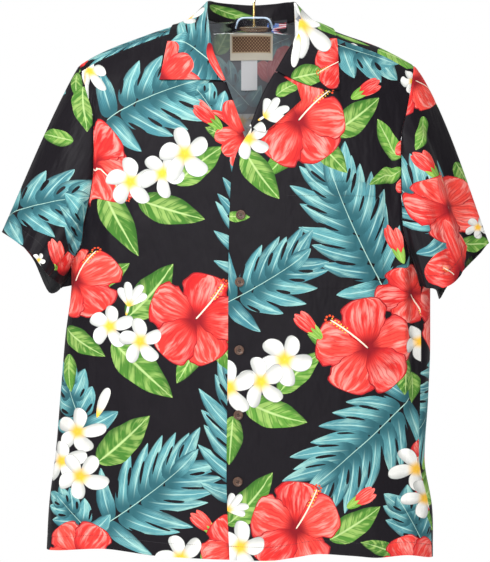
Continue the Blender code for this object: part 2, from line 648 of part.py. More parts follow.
def neckline(fronts, place):
    """Seam under the collar at a place of its table (0 to 12)."""
    if place <= FRONT_PLACES:
        top = fronts["right"]["grid"][-1, 0, 2]
        share = place / FRONT_PLACES
        return front_edge(fronts, "right", ROLL_LINE["right"][1] * (1 - share) + top * share)
    if place >= 12 - FRONT_PLACES:
        top = fronts["left"]["grid"][-1, 0, 2]
        share = (12 - place) / FRONT_PLACES
        return front_edge(fronts, "left", ROLL_LINE["left"][1] * (1 - share) + top * share)
    sweep = math.pi * ((place - FRONT_PLACES) / (12 - 2 * FRONT_PLACES) - 0.5)
    front_turn = -math.degrees(math.acos(1 - YOKE_FRONT_DROP / SHOULDER_FRONT))
    x = (NECK_LEFT_X + NECK_RIGHT_X) / 2 + (NECK_LEFT_X - NECK_RIGHT_X) / 2 * math.sin(sweep)
    return over_shoulder(x, front_turn + (BACK_NECK_TURN - front_turn) * math.cos(sweep))


def nearest_normal(point, cloud):
    places, normals = cloud
    return normals[int(np.argmin(np.sum((places - point) ** 2, axis=1)))]


def even(directions):
    """Even out a row of directions, keeping the two ends."""
    for _ in range(3):
        directions[1:-1] = (directions[:-2] + 2 * directions[1:-1] + directions[2:]) / 4
    return unit(directions)


def collar_grid(fronts, cloud):
    """Visible face of the collar, from its seam up the stand, over the fold, down the fall."""
    radius = FOLD_RADIUS + COLLAR_WALL
    columns = []
    places = np.linspace(0, 12, COLLAR_COLUMNS)
    seams = np.array([neckline(fronts, float(place)) for place in places])
    normals = np.array([nearest_normal(seam, cloud) for seam in seams])
    necks = unit(np.cross(normals, np.gradient(seams, axis=0)))
    necks = necks * np.sign(np.sum(necks * (NECK_MIDDLE - seams), axis=-1, keepdims=True))
    normals, necks = even(normals), even(necks)
    for place, seam, normal, into_neck in zip(places, seams, normals, necks):
        fold = np.array([COLLAR(name, place) for name in ("fold_x", "fold_y", "fold_h")])
        edge = np.array([COLLAR(name, place) for name in ("edge_x", "edge_y", "edge_h")])
        standing = float(smooth(min(place, 12 - place) / 3.0))
        base = seam - normal * WALL + into_neck * (2 * GAP + (COLLAR_WALL + GAP) * standing)
        rise = fold - base
        up = unit(into_neck * (1 - standing) + unit(rise) * standing)
        outward = normal * (1 - standing) - into_neck * standing
        outward = unit(outward - up * np.dot(outward, up))
        height = max(float(np.dot(rise, up)) * standing - radius, 0.0004)
        stand = [base + up * height * s for s in np.linspace(0, 1, STAND_ROWS)]
        centre_point = stand[-1] + outward * radius
        turn = [centre_point - outward * radius * math.cos(a) + up * radius * math.sin(a)
                for a in np.linspace(0, math.pi, TURN_STEPS + 1)[1:]]
        start = turn[-1]
        bend = (start + edge) / 2 + np.array([0, 0, COLLAR("sag", place)])
        fall = [(1 - s) ** 2 * start + 2 * s * (1 - s) * bend + s * s * edge
                for s in np.linspace(0, 1, FALL_ROWS + 1)[1:]]
        columns.append(np.array(stand + turn + fall))
    grid = np.array(columns).transpose(1, 0, 2)
    first = STAND_ROWS + TURN_STEPS
    grid[first:] = keep_clear(grid[first:], COLLAR_LIFT + COLLAR_WALL, cloud)
    return grid


def lapel_grid(side, fronts, cloud):
    """Visible face of a lapel: rows up the roll line, columns from it to the outer edge."""
    low, high = ROLL_LINE[side]
    outline = np.array(LAPEL_OUTLINE[side])
    radius = FOLD_RADIUS + COLLAR_WALL
    rows = []
    for b in np.append(np.linspace(0.03, LAPEL_TIP, 9), np.linspace(LAPEL_TIP, 0.97, 4)[1:]):
        height = low + (high - low) * b
        start = front_edge(fronts, side, height)
        along = front_edge(fronts, side, height + 0.004) - front_edge(fronts, side, height - 0.004)
        normal = nearest_normal(start, cloud)
        into_neck = unit(np.cross(normal, along))
        into_neck = into_neck * np.sign(into_neck[2])
        outer = on_body(np.interp(b, outline[:, 0], outline[:, 1]),
                        np.interp(b, outline[:, 0], outline[:, 2]), "front")
        turn = [start + into_neck * (3 * GAP + radius * math.sin(a))
                + normal * (radius * (1 - math.cos(a)) - WALL)
                for a in np.linspace(0, math.pi, TURN_STEPS + 1)]
        spread = [turn[-1] + (outer + normal * (LAPEL_LIFT + COLLAR_WALL) - turn[-1]) * s
                  for s in np.linspace(0, 1, LAPEL_COLUMNS)[1:]]
        rows.append(np.array(turn + spread))
    grid = np.array(rows)
    first = TURN_STEPS + 1
    grid[:, first:] = keep_clear(grid[:, first:], LAPEL_LIFT + COLLAR_WALL, cloud)
    return grid


def sheet_inward(grid, toward):
    """Wall directions of a turned sheet; `toward` is the rough way through it at its end."""
    normals = grid_normals(grid)
    flip = np.sign(np.sum(normals[-1, -1] * np.array(toward, float)))
    return normals * (flip if flip != 0 else 1)


# ----------------------------------------------------------------- pocket, labels, buttons
def pocket_grid(cloud):
    """Outer points of the patch pocket on the wearer's left front."""
    rows = []
    for height in np.linspace(POCKET["low"], POCKET["high"], POCKET_POINTS):
        inset = POCKET["cut"] * max(0.0, 1 - (height - POCKET["low"]) / POCKET["cut"])
        x = np.linspace(POCKET["x_low"] + inset, POCKET["x_high"] - inset, POCKET_POINTS)
        rows.append(on_body(x, height, "front"))
    grid = np.array(rows)
    return grid - body_inward(grid) * (WALL + 2 * GAP)


def inside_back(x, drop):
    """Point just inside the yoke, at a distance down from the back neckline."""
    top = over_shoulder(x, BACK_NECK_TURN)
    return on_body(x, top[2] - drop, "back")


def stand_tag(collar, material):
    """The small flag tag, caught in the neck seam and hanging over it."""
    line = collar[0][collar[0][:, 1] > 0.0]
    low, high = FLAG_TAG["x"] - FLAG_TAG["width"] / 2, FLAG_TAG["x"] + FLAG_TAG["width"] / 2
    x = np.linspace(low, high, LABEL_COLUMNS)
    seam = np.array([[np.interp(v, line[:, 0], line[:, k]) for k in range(3)] for v in x])
    toward_neck = unit((NECK_MIDDLE - seam) * np.array([1, 1, 0]))
    grid = np.array([seam + toward_neck * TAG_STANDOFF + np.array([0, 0, rise])
                     for rise in FLAG_TAG["height"] * (np.linspace(0, 1, LABEL_ROWS) - TAG_SHARE_BELOW)])
    inward = np.broadcast_to(-toward_neck, grid.shape)
    return wall("flag_tag", grid, inward, LABEL_WALL, material)


def label(name, spec, top, material, layer):
    """A woven label that hangs inside the back, following the yoke."""
    rows = []
    for drop in np.linspace(top + spec["height"], top, LABEL_ROWS):
        x = spec["x"] + spec["width"] * np.linspace(-0.5, 0.5, LABEL_COLUMNS)
        rows.append(np.array([inside_back(value, drop) for value in x]))
    grid = np.array(rows)
    inward = body_inward(grid)
    grid = grid + inward * (WALL + layer)
    return wall(name, grid, inward, LABEL_WALL, material)


def button(name, height, material):
    """A turned coconut button: a disc with a raised rim, on the closing edge's line."""
    x = FRONT_EDGE_LEFT("x", height) + BUTTON_INSET
    centre_point = on_body(x, height, "front")
    step = BUTTON_RADIUS / 2
    across = on_body(x + step, height, "front") - on_body(x - step, height, "front")
    upward = on_body(x, height + step, "front") - on_body(x, height - step, "front")
    across, upward = unit(across), unit(upward)
    outward = unit(np.cross(across, upward))
    sides = BUTTON_SIDES
    vertices, faces = [], []
    for radius, level in BUTTON_PROFILE:
        for k in range(sides):
            turn = 2 * math.pi * k / sides
            vertices.append(centre_point + outward * (2 * GAP + level * BUTTON_HEIGHT)
                            + (across * math.cos(turn) + upward * math.sin(turn)) * radius * BUTTON_RADIUS)
    rings = len(BUTTON_PROFILE)
    for i in range(rings - 1):
        for k in range(sides):
            a, b = i * sides + k, i * sides + (k + 1) % sides
            faces.append((a, b, b + sides, a + sides))
    faces.append(tuple(range(sides))[::-1])
    faces.append(tuple((rings - 1) * sides + k for k in range(sides)))
    return new_object(name, np.array(vertices), faces, material)


# -------------------------------------------------------------------------------- hanger
def hanger(material):
    """The clear hanger: arms under the shoulder line that swell into a hollow oval cap."""
    places = np.concatenate([np.linspace(*run) for run in HANGER_PLACES])
    sides = HANGER_SIDES
    vertices, faces = [], []
    for x in places:
        middle = SHOULDER_LINE("height", x) - HANGER("drop", x)
        half_height, half_depth = HANGER("half_height", x), HANGER("half_depth", x)
        share = 1 - (x / CAP["half_x"]) ** 2
        if share > 0:
            grown = math.sqrt(share)
            half_depth = max(half_depth, CAP["half_y"] * grown)
            middle = (CAP["low"] + CAP["high"]) / 2
            half_height = (CAP["high"] - CAP["low"]) / 2
        for k in range(sides):
            turn = 2 * math.pi * k / sides
            vertices.append((x, half_depth * signed_power(math.cos(turn), HANGER_SQUARENESS),
                             middle + half_height * signed_power(math.sin(turn), HANGER_SQUARENESS)))
    for i in range(len(places) - 1):
        for k in range(sides):
            a, b = i * sides + k, i * sides + (k + 1) % sides
            faces.append((a, b, b + sides, a + sides))
    faces.append(tuple(range(sides)))
    faces.append(tuple((len(places) - 1) * sides + k for k in range(sides))[::-1])
    body = new_object("hanger_body", np.array(vertices), faces, material)
    rim = bmesh.new()
    bmesh.ops.create_cone(rim, cap_ends=True, segments=RECESS_SIDES, radius1=1.0, radius2=1.0, depth=1.0)
    inner_x, inner_y = CAP["half_x"] - CAP["wall_x"], CAP["half_y"] - CAP["wall_y"]
    depth = CAP["high"] - CAP["low"] - CAP["floor"]
    bmesh.ops.scale(rim, vec=(inner_x, inner_y, depth * 2), verts=rim.verts)
    bmesh.ops.translate(rim, vec=(0, 0, CAP["high"] - HANG_DROP), verts=rim.verts)
    mesh = bpy.data.meshes.new("cap_recess")
    rim.to_mesh(mesh)
    rim.free()
    cutter = bpy.data.objects.new("cap_recess", mesh)
    bpy.context.scene.collection.objects.link(cutter)
    cutter.hide_render = True
    cutter.display_type = "WIRE"
    cut = body.modifiers.new("recess", "BOOLEAN")
    cut.operation = "DIFFERENCE"
    cut.object = cutter
    return body


def hook(material):
    """The gold wire hook: a stem that sweeps into a round bend over the rail."""
    middle_z = WIRE_RADIUS - HOOK_RADIUS
    stem_low = CAP["low"] + CAP["floor"] + GAP - HANG_DROP
    stem_high = middle_z - HOOK_RADIUS - HOOK["below"]
    route = [(0.0, z) for z in np.linspace(stem_low, stem_high, HOOK["stem_steps"])]
    lead = math.radians(HOOK["lead"])
    start = (HOOK_RADIUS * math.cos(lead), middle_z + HOOK_RADIUS * math.sin(lead))
    leave, bend = np.array((0.0, stem_high)), np.array((0.0, stem_high + HOOK["sweep"]))
    for s in np.linspace(0, 1, HOOK["sweep_steps"])[1:-1]:
        route.append(tuple((1 - s) ** 2 * leave + 2 * s * (1 - s) * bend + s * s * np.array(start)))
    for turn in np.linspace(lead, math.radians(HOOK["end"]), HOOK["steps"]):
        route.append((HOOK_RADIUS * math.cos(turn), middle_z + HOOK_RADIUS * math.sin(turn)))
    curve = bpy.data.curves.new("hanger_hook", "CURVE")
    curve.dimensions = "3D"
    curve.bevel_depth = WIRE_RADIUS
    curve.bevel_resolution = 2
    curve.use_fill_caps = True
    spline = curve.splines.new("POLY")
    spline.points.add(len(route) - 1)
    for point, (x, z) in zip(spline.points, route):
        point.co = (x, 0.0, z, 1.0)
    curve.materials.append(material)
    item = bpy.data.objects.new("hanger_hook", curve)
    bpy.context.scene.collection.objects.link(item)
    return item


# -------------------------------------------------------------------------------- build
def build_body(black):
    """Fronts, back, yoke and sleeves, mitred where they meet at the armholes."""
    fronts = {side: {"grid": front_grid(side)} for side in ("right", "left")}
    back, yoke = back_grid(), yoke_grid()
    for side in fronts:
        grid = fronts[side]["grid"]
        inward = body_inward(grid)
        if side == "right":
            line = FRONT_EDGE_LEFT("x", grid[..., 2])
            step = smooth((grid[..., 0] - line + LAP_RAMP) / LAP_RAMP) * (grid[..., 2] < 0.61)
            grid = grid + inward * (step * (WALL + 2 * GAP))[..., None]
        fronts[side] = {"grid": grid, "inward": inward}
    back_in, yoke_in = body_inward(back), body_inward(yoke)
    for side, column in (("left", 0), ("right", -1)):
        rows = np.s_[:FRONT_ROWS_LOW]
        shared = mitre(fronts[side]["inward"][rows, -1], back_in[rows, column])
        fronts[side]["inward"][rows, -1] = shared
        back_in[rows, column] = shared
    for side in ("right", "left"):
        ring = sleeve_ring(side, fronts, yoke, back)
        sleeve = sleeve_grid(side, ring)
        sleeve_in = sleeve_inward(sleeve, side)
        panels = [(fronts[side]["grid"], fronts[side]["inward"], -1),
                  (back, back_in, 0 if side == "left" else -1),
                  (yoke, yoke_in, -1 if side == "left" else 0)]
        for k, point in enumerate(sleeve[0]):
            for grid, inward, column in panels:
                distance = np.linalg.norm(grid[:, column] - point, axis=1)
                near = int(np.argmin(distance))
                if distance[near] < 1e-6:
                    shared = mitre(inward[near, column], sleeve_in[0, k])
                    inward[near, column] = shared
                    body_way = shared
            sleeve_in[0, k] = body_way
        sleeve = pull_back(sleeve, "low", 4 * GAP)
        wall(f"sleeve_{side}", sleeve, sleeve_in, WALL, black, closed=True)
    for side in fronts:
        grid = pull_back(fronts[side]["grid"], "right", GAP)
        grid = pull_back(grid, "high", GAP)
        wall(f"front_{side}", grid, fronts[side]["inward"], WALL, black)
    back = pull_back(pull_back(back, "left", GAP), "right", GAP)
    wall("back_panel", pull_back(back, "high", GAP), back_in, WALL, black)
    yoke = pull_back(pull_back(yoke, "left", GAP), "right", GAP)
    yoke = pull_back(pull_back(yoke, "low", GAP), "high", GAP)
    wall("back_yoke", yoke, yoke_in, WALL, black)
    return fronts


def main():
    for item in list(bpy.data.objects):
        bpy.data.objects.remove(item, do_unlink=True)
    black = plain_material("printed_cloth", CLOTH_BLACK)
    coconut = plain_material("coconut", COCONUT, 0.45)
    clear = plain_material("clear_plastic", CLEAR, 0.10)
    gold = plain_material("gold_wire", GOLD, 0.25, 1.0)
    label_brown = plain_material("label_weave", LABEL_BROWN, 0.75)
    label_white = plain_material("label_satin", LABEL_WHITE, 0.60)
    fronts = build_body(black)
    cloud = form_cloud()
    collar = collar_grid(fronts, cloud)
    wall("collar", collar, sheet_inward(collar, (0, 1, 0)), COLLAR_WALL, black)
    for side in ("right", "left"):
        lapel = lapel_grid(side, fronts, cloud)
        wall(f"lapel_{side}", lapel, sheet_inward(lapel, (0, 1, 0)), COLLAR_WALL, black)
    pocket = pocket_grid(cloud)
    wall("pocket", pocket, body_inward(pocket), WALL, black)
    for number, height in enumerate(BUTTON_HEIGHTS, start=1):
        button(f"button_{number}", height, coconut)
    label("neck_label", NECK_LABEL, LABEL_DROP, label_brown, GAP)
    label("care_label", CARE_LABEL, LABEL_DROP + NECK_LABEL["height"] + GAP, label_white, GAP)
    stand_tag(collar, label_white)
    hanger(clear)
    hook(gold)


main()
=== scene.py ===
"""Looks of a camp-collar shirt, printed with flowers and leaves, on a clear shaped hanger.

Every length is in metres and every angle in degrees unless a name says otherwise.  Heights are
above the hem line; the frame's origin is the seat of the hanger's hook.
"""
from __future__ import annotations

import logging
import math
from collections.abc import Iterable, Sequence
from dataclasses import dataclass, field
from enum import Enum, IntEnum

import bmesh
import bpy
import numpy as np
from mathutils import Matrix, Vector, kdtree
from mathutils.geometry import delaunay_2d_cdt

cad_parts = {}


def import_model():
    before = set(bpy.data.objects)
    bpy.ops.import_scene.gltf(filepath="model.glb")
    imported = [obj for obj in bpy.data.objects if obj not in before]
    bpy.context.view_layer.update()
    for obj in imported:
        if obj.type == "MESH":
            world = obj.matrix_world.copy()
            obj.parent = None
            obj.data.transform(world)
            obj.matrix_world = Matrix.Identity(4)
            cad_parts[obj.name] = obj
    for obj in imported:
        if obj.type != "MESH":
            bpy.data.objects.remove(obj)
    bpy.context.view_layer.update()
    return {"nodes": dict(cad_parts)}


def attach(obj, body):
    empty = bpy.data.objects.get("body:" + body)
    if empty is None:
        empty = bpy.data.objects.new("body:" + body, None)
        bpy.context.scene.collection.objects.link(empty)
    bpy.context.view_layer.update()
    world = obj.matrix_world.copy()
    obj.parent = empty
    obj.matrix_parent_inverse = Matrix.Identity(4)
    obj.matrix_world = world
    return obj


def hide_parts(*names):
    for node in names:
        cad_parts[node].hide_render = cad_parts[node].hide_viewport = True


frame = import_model()
LOG = logging.getLogger("shirt")

Array = np.ndarray
Dice = np.random.Generator
Material = bpy.types.Material
Socket = bpy.types.NodeSocket
Pair = tuple[float, float]
Triple = tuple[float, float, float]

# --- driving sizes
HANG_DROP = 0.845            # from the hook's seat down to the hem line
CLOTH = 0.0007               # thickness of the cloth
FOLDED = 0.0013              # of a hem, a facing or the collar
LAP_STEP = 0.0018            # the under front lies this far inside the top one
SQUARENESS = 2.5             # exponent of the body's rounded sections
SHOULDER_FRONT = 0.13
SHOULDER_BACK = 0.15
YOKE_FRONT_DROP = 0.014
YOKE_SEAM_HEIGHT = 0.65
NECK_RIGHT_X = -0.078
NECK_LEFT_X = 0.074
BACK_NECK_TURN = 26.0
YOKE_FRONT_TURN = -math.degrees(math.acos(1 - YOKE_FRONT_DROP / SHOULDER_FRONT))
LAP_RAMP = 0.02
LAP_TOP = 0.61               # the fronts part above this height
HEM_DEPTH = 0.019            # from the hem's edge up to its stitches
SEAM_DIP = 0.0007            # how far a panel rolls in at a seam
NEAR_SEAM = (0.0012, 0.0030)  # extra rows of points this close to a seam
SLEEVE_LENGTH = 0.215        # of the cloth from the cap to the hem
INSIDE_VEIL_AND_PAINTED_LIGHT = (0.46, 0.50)   # the wrong side: how pale its veil is, and the veil's share; the cloth's own muted wrong side, made paler still as painted light for the dim inside of the neck
SLEEVE_INSIDE_PAINTED_SHADE = (0.015, 0.80)  # the same inside the sleeves, near black there as painted shade
COLLAR_WALL = 0.0014
FOLD_RADIUS = 0.001
SLEEVE_BULGE = {"right": 0.004, "left": 0.01}
NECK_MIDDLE = np.array([-0.002, -0.035, 0.76])
LAPEL_TIP = 0.76
LOW_LOBE = 0.41              # the inside of a sleeve shows below this height
FRONT_PLACES = 2.6           # places of the collar's table that lie along each front
LAST_PLACE = 12              # of the collar's table
SIGN = {"right": -1, "left": 1}

CAMERA_X = -0.013
CAMERA_HEIGHT = 0.399        # above the hem line
CAMERA_DISTANCE = 2.4
VIEW_HEIGHT = 0.8093         # what the picture takes in at the hook's plane
CAMERA = np.array([CAMERA_X, -CAMERA_DISTANCE, CAMERA_HEIGHT])


class Table:
    """Rows of named columns, read along the first column with a smooth curve."""

    def __init__(self, columns: str, rows: Sequence[tuple], period: float | None = None) -> None:
        """Sort the rows and, for a closed round, repeat them past both ends.

        Args:
            columns: Names of the columns, parted by blanks.
            rows: One tuple for each row.
            period: Length of the round, where the table closes on itself.
        """
        data = np.array(rows, dtype=float)
        data = data[np.argsort(data[:, 0])]
        if period:
            before, after = data[-2:].copy(), data[:2].copy()
            before[:, 0] -= period
            after[:, 0] += period
            data = np.vstack([before, data, after])
        self.key = data[:, 0]
        self.values = {name: data[:, k] for k, name in enumerate(columns.split())}

    def __call__(self, name: str, at: Array | float) -> Array:
        """Read one column.

        Args:
            name: The column.
            at: Where along the first column.

        Returns:
            The smoothed values there.
        """
        keys, values = self.key, self.values[name]
        at = np.clip(np.asarray(at, dtype=float), keys[0], keys[-1])
        steps = np.diff(keys)
        rises = np.diff(values) / steps
        slopes = np.concatenate([rises[:1], (rises[1:] + rises[:-1]) / 2, rises[-1:]])
        turning = np.concatenate([[False], rises[1:] * rises[:-1] <= 0, [False]])
        slopes = np.where(turning, 0.0, slopes)
        k = np.clip(np.searchsorted(keys, at, side="right") - 1, 0, len(steps) - 1)
        t = (at - keys[k]) / steps[k]
        t2, t3 = t * t, t * t * t
        return ((2 * t3 - 3 * t2 + 1) * values[k] + (t3 - 2 * t2 + t) * steps[k] * slopes[k]
                + (3 * t2 - 2 * t3) * values[k + 1] + (t3 - t2) * steps[k] * slopes[k + 1])


def named(columns: str, rows: Sequence[tuple]) -> list[dict[str, object]]:
    """Rows as dictionaries, with the columns' names as keys."""
    return [dict(zip(columns.split(), row)) for row in rows]


SECTIONS = Table("height right left front back", [
    (0.0, -0.298, 0.257, 0.086, 0.082), (0.07, -0.294, 0.256, 0.088, 0.084),
    (0.141, -0.285, 0.245, 0.092, 0.088), (0.228, -0.278, 0.25, 0.096, 0.093),
    (0.314, -0.271, 0.253, 0.099, 0.097), (0.4, -0.262, 0.253, 0.1, 0.1),
    (0.48, -0.262, 0.252, 0.099, 0.102), (0.56, -0.264, 0.252, 0.097, 0.104),
    (0.64, -0.268, 0.254, 0.094, 0.104), (0.72, -0.272, 0.256, 0.09, 0.1),
    (0.8, -0.274, 0.258, 0.086, 0.096)])
SHOULDER_LINE = Table("x height", [
    (-0.28, 0.69), (-0.251, 0.7095), (-0.222, 0.726), (-0.164, 0.749), (-0.12, 0.764),
    (-0.078, 0.775), (0.0, 0.78), (0.085, 0.77), (0.124, 0.755), (0.181, 0.7345),
    (0.21, 0.72), (0.2293, 0.709), (0.26, 0.686)])
ARMHOLE = {
    "right": Table("height front back", [
        (0.412, 92.0, 92.0), (0.443, 68.8, 108.0), (0.482, 63.1, 114.0), (0.506, 59.6, 117.5),
        (0.541, 55.9, 121.0), (0.628, 54.3, 122.5), (0.654, 57.3, 120.0), (0.7095, 64.5, 115.5)]),
    "left": Table("height front back", [
        (0.393, 66.6, 66.6), (0.403, 64.0, 75.0), (0.417, 60.8, 87.0), (0.437, 57.0, 102.0),
        (0.4665, 52.6, 115.0), (0.5225, 51.4, 123.0), (0.6, 51.2, 124.0), (0.6255, 53.7, 122.0),
        (0.669, 57.7, 119.0), (0.709, 61.3, 118.7)])}
SIDE_SEAM = Table("height right left", [
    (0.0, 92.0, 82.0), (0.141, 92.0, 72.0), (0.393, 92.0, 66.6), (0.412, 92.0, 66.6)])
FRONT_EDGE = {
    "left": Table("height x", [
        (0.0, -0.0344), (0.121, -0.0386), (0.304, -0.0365), (0.497, -0.0342), (0.55, -0.031),
        (0.566, -0.0275), (0.585, -0.0195), (0.6064, -0.006), (0.655, 0.0147), (0.692, 0.0358),
        (0.73, 0.058), (0.76, 0.074)]),
    "right": Table("height x", [
        (0.0, -0.0024), (0.121, -0.0066), (0.304, -0.0045), (0.497, -0.0022), (0.56, -0.0022),
        (0.58, -0.006), (0.601, -0.0148), (0.64, -0.03), (0.676, -0.0436), (0.72, -0.062),
        (0.762, -0.078)])}
HEM = Table("x front back", [
    (-0.298, 0.0155, 0.0155), (-0.215, 0.024, 0.019), (-0.13, 0.0165, 0.015),
    (-0.04, 0.0118, 0.017), (0.02, 0.0103, 0.0135), (0.055, 0.0145, 0.012),
    (0.09, 0.0186, 0.014), (0.14, 0.0155, 0.017), (0.175, 0.0123, 0.013),
    (0.21, 0.0135, 0.012), (0.257, 0.0045, 0.0045)])
SLEEVE_HEM = {
    "right": Table("angle x y height", [
        (0, -0.363, 0.0, 0.4696), (45, -0.337, -0.052, 0.4555), (90, -0.308, -0.078, 0.434),
        (120, -0.294, -0.07, 0.414), (150, -0.286, -0.044, 0.402),
        (180, -0.2775, -0.004, 0.392), (215, -0.297, 0.045, 0.38),
        (245, -0.322, 0.072, 0.425), (270, -0.338, 0.078, 0.445),
        (315, -0.356, 0.05, 0.463)], period=360),
    "left": Table("angle x y height", [
        (0, 0.3384, 0.0, 0.4537), (30, 0.299, -0.034, 0.426), (55, 0.289, -0.062, 0.406),
        (90, 0.264, -0.086, 0.39), (115, 0.242, -0.086, 0.389),
        (138, 0.23, -0.07, 0.39), (160, 0.256, -0.034, 0.3845),
        (180, 0.265, -0.003, 0.375), (210, 0.268, 0.03, 0.3713),
        (240, 0.286, 0.062, 0.392), (270, 0.308, 0.074, 0.412),
        (315, 0.331, 0.048, 0.438)], period=360)}
COLLAR = Table("place fold_x fold_y fold_h edge_x edge_y edge_h sag", [
    (0.0, -0.044, -0.093, 0.677, -0.132, -0.085, 0.679, 0.001),
    (1.0, -0.056, -0.076, 0.718, -0.125, -0.066, 0.708, 0.0),
    (2.0, -0.0645, -0.048, 0.759, -0.117, -0.036, 0.738, 0.0),
    (3.0, -0.0655, -0.01, 0.796, -0.11, 0.004, 0.764, 0.0),
    (4.0, -0.058, 0.024, 0.806, -0.096, 0.046, 0.756, 0.0),
    (5.0, -0.033, 0.044, 0.806, -0.052, 0.074, 0.742, 0.0),
    (6.0, -0.002, 0.05, 0.805, -0.002, 0.078, 0.738, 0.0),
    (7.0, 0.029, 0.044, 0.806, 0.048, 0.074, 0.741, 0.0),
    (8.0, 0.05, 0.024, 0.805, 0.09, 0.046, 0.752, 0.0),
    (9.0, 0.057, -0.01, 0.795, 0.106, 0.004, 0.756, 0.0),
    (10.0, 0.057, -0.046, 0.752, 0.112, -0.036, 0.73, -0.004),
    (11.0, 0.048, -0.07, 0.718, 0.115, -0.064, 0.696, -0.01),
    (12.0, 0.0358, -0.088, 0.69, 0.1175, -0.082, 0.664, -0.016)])
LAPEL_OUTLINE = {
    "right": [(0.0, -0.019, 0.5995), (0.4, -0.0435, 0.62), (LAPEL_TIP, -0.0823, 0.654),
              (1.0, -0.0772, 0.6735)],
    "left": [(0.0, 0.002, 0.606), (0.12, 0.0147, 0.605), (0.35, 0.0258, 0.6138),
             (LAPEL_TIP, 0.0646, 0.6485), (1.0, 0.0577, 0.6715)]}
ROLL_LINE = {"right": (0.603, 0.6755), "left": (0.6095, 0.689)}
POCKET = {"x_low": 0.0437, "x_high": 0.1787, "low": 0.3893, "high": 0.5359, "cut": 0.016}
BUTTON_HEIGHTS = (0.4903, 0.3976, 0.3036, 0.2137, 0.1211)
BUTTON_INSET = 0.0155

# Soft folds, a row for each: its line from low to high, how far it reaches, and its depth.
BODY_FOLDS = named("face x_low x_high low high width depth", [
    ("front", 0.216, 0.206, 0.16, 0.52, 0.012, 0.005),
    ("front", 0.233, 0.226, 0.14, 0.46, 0.011, -0.006),
    ("front", 0.085, 0.095, -0.1, 0.2, 0.024, -0.005),
    ("front", 0.17, 0.16, -0.1, 0.26, 0.024, 0.004),
    ("front", -0.215, -0.19, -0.1, 0.22, 0.022, -0.005),
    ("front", -0.13, -0.135, -0.1, 0.24, 0.024, 0.003),
    ("back", -0.15, -0.125, -0.1, 0.4, 0.026, -0.006),
    ("back", -0.05, -0.045, -0.1, 0.34, 0.026, 0.005),
    ("back", 0.06, 0.045, -0.1, 0.38, 0.026, -0.006),
    ("back", 0.155, 0.135, -0.1, 0.32, 0.024, 0.005),
    ("back", 0.215, 0.205, 0.05, 0.5, 0.016, -0.005),
    ("front", -0.196, -0.21, 0.3, 0.62, 0.009, 0.0022),
    ("front", -0.172, -0.19, 0.34, 0.66, 0.01, -0.002),
    ("front", -0.105, -0.09, 0.02, 0.36, 0.013, -0.0018),
    ("front", -0.078, -0.07, 0.1, 0.5, 0.011, 0.0014),
    ("front", -0.245, -0.23, 0.05, 0.34, 0.01, 0.002),
    ("front", 0.012, 0.006, 0.05, 0.44, 0.01, -0.0016),
    ("front", 0.05, 0.04, -0.02, 0.3, 0.012, 0.0016),
    ("front", 0.13, 0.142, 0.0, 0.34, 0.012, -0.0018),
    ("front", 0.185, 0.196, 0.4, 0.68, 0.009, -0.002),
    ("front", 0.2, 0.208, 0.44, 0.7, 0.008, 0.0018),
    ("front", -0.12, -0.21, 0.66, 0.73, 0.016, -0.0014),
    ("front", 0.2265, 0.22, 0.12, 0.58, 0.006, -0.0095),
    ("front", 0.212, 0.208, 0.16, 0.56, 0.0065, 0.004),
    ("back", -0.18, -0.195, 0.3, 0.6, 0.014, 0.0022),
    ("back", -0.09, -0.085, 0.02, 0.48, 0.015, -0.002),
    ("back", 0.005, 0.0, 0.1, 0.6, 0.016, 0.0016),
    ("back", 0.1, 0.095, 0.05, 0.52, 0.014, -0.002),
    ("back", 0.18, 0.19, 0.28, 0.62, 0.012, 0.0022)])
SLEEVE_FOLDS = named("side angle_cap angle_hem width depth", [
    ("right", 118.0, 150.0, 16.0, -0.005), ("right", 92.0, 122.0, 16.0, 0.004),
    ("right", 285.0, 240.0, 20.0, -0.005), ("left", 60.0, 32.0, 16.0, 0.005),
    ("left", 125.0, 150.0, 16.0, -0.004), ("left", 200.0, 200.0, 28.0, -0.003),
    ("left", 290.0, 262.0, 20.0, -0.005),
    ("right", 126.0, 152.0, 7.0, -0.007), ("right", 108.0, 134.0, 6.0, 0.004),
    ("right", 84.0, 104.0, 6.0, -0.003), ("left", 112.0, 128.0, 6.0, -0.004),
    ("left", 48.0, 20.0, 7.0, -0.0036), ("left", 66.0, 42.0, 5.0, 0.003),
    ("right", 60.0, 66.0, 9.0, -0.0016), ("right", 30.0, 24.0, 10.0, 0.0014),
    ("right", 320.0, 300.0, 12.0, 0.0018), ("left", 90.0, 84.0, 9.0, 0.0014),
    ("left", 74.0, 62.0, 7.0, -0.0016), ("left", 330.0, 316.0, 12.0, 0.0018)])


def world(points: Array) -> Array:
    """Drop points given by their height above the hem line into the frame."""
    points = np.array(points, dtype=float)
    points[..., 2] -= HANG_DROP
    return points


def smooth(t: Array | float) -> Array:
    """Ease from 0 to 1."""
    t = np.clip(t, 0.0, 1.0)
    return t * t * (3 - 2 * t)


def signed_power(value: Array | float, power: float) -> Array:
    """Raise the size of a value and keep its sign."""
    return np.sign(value) * np.abs(value) ** power


def unit(vectors: Array) -> Array:
    """Vectors of length one."""
    return vectors / np.maximum(np.linalg.norm(vectors, axis=-1, keepdims=True), 1e-12)


def pointing(turn: float) -> Array:
    """Direction at an angle on the flat cloth."""
    return np.array([math.cos(math.radians(turn)), math.sin(math.radians(turn))])


def read_line(places: Array | float, length: Array, line: Array) -> Array:
    """Points or directions of a line at lengths along it."""
    return np.stack([np.interp(places, length, column) for column in line.T], axis=-1)


def border_of(index: Array) -> Array:
    """The outermost indices of a grid of them, all the way round."""
    return np.concatenate([index[0, :-1], index[:-1, -1], index[-1, :0:-1], index[:0:-1, 0]])


def edges_of(cells: Array) -> Array:
    """The three directed edges of every triangle."""
    return np.concatenate([cells[:, [0, 1]], cells[:, [1, 2]], cells[:, [2, 0]]])


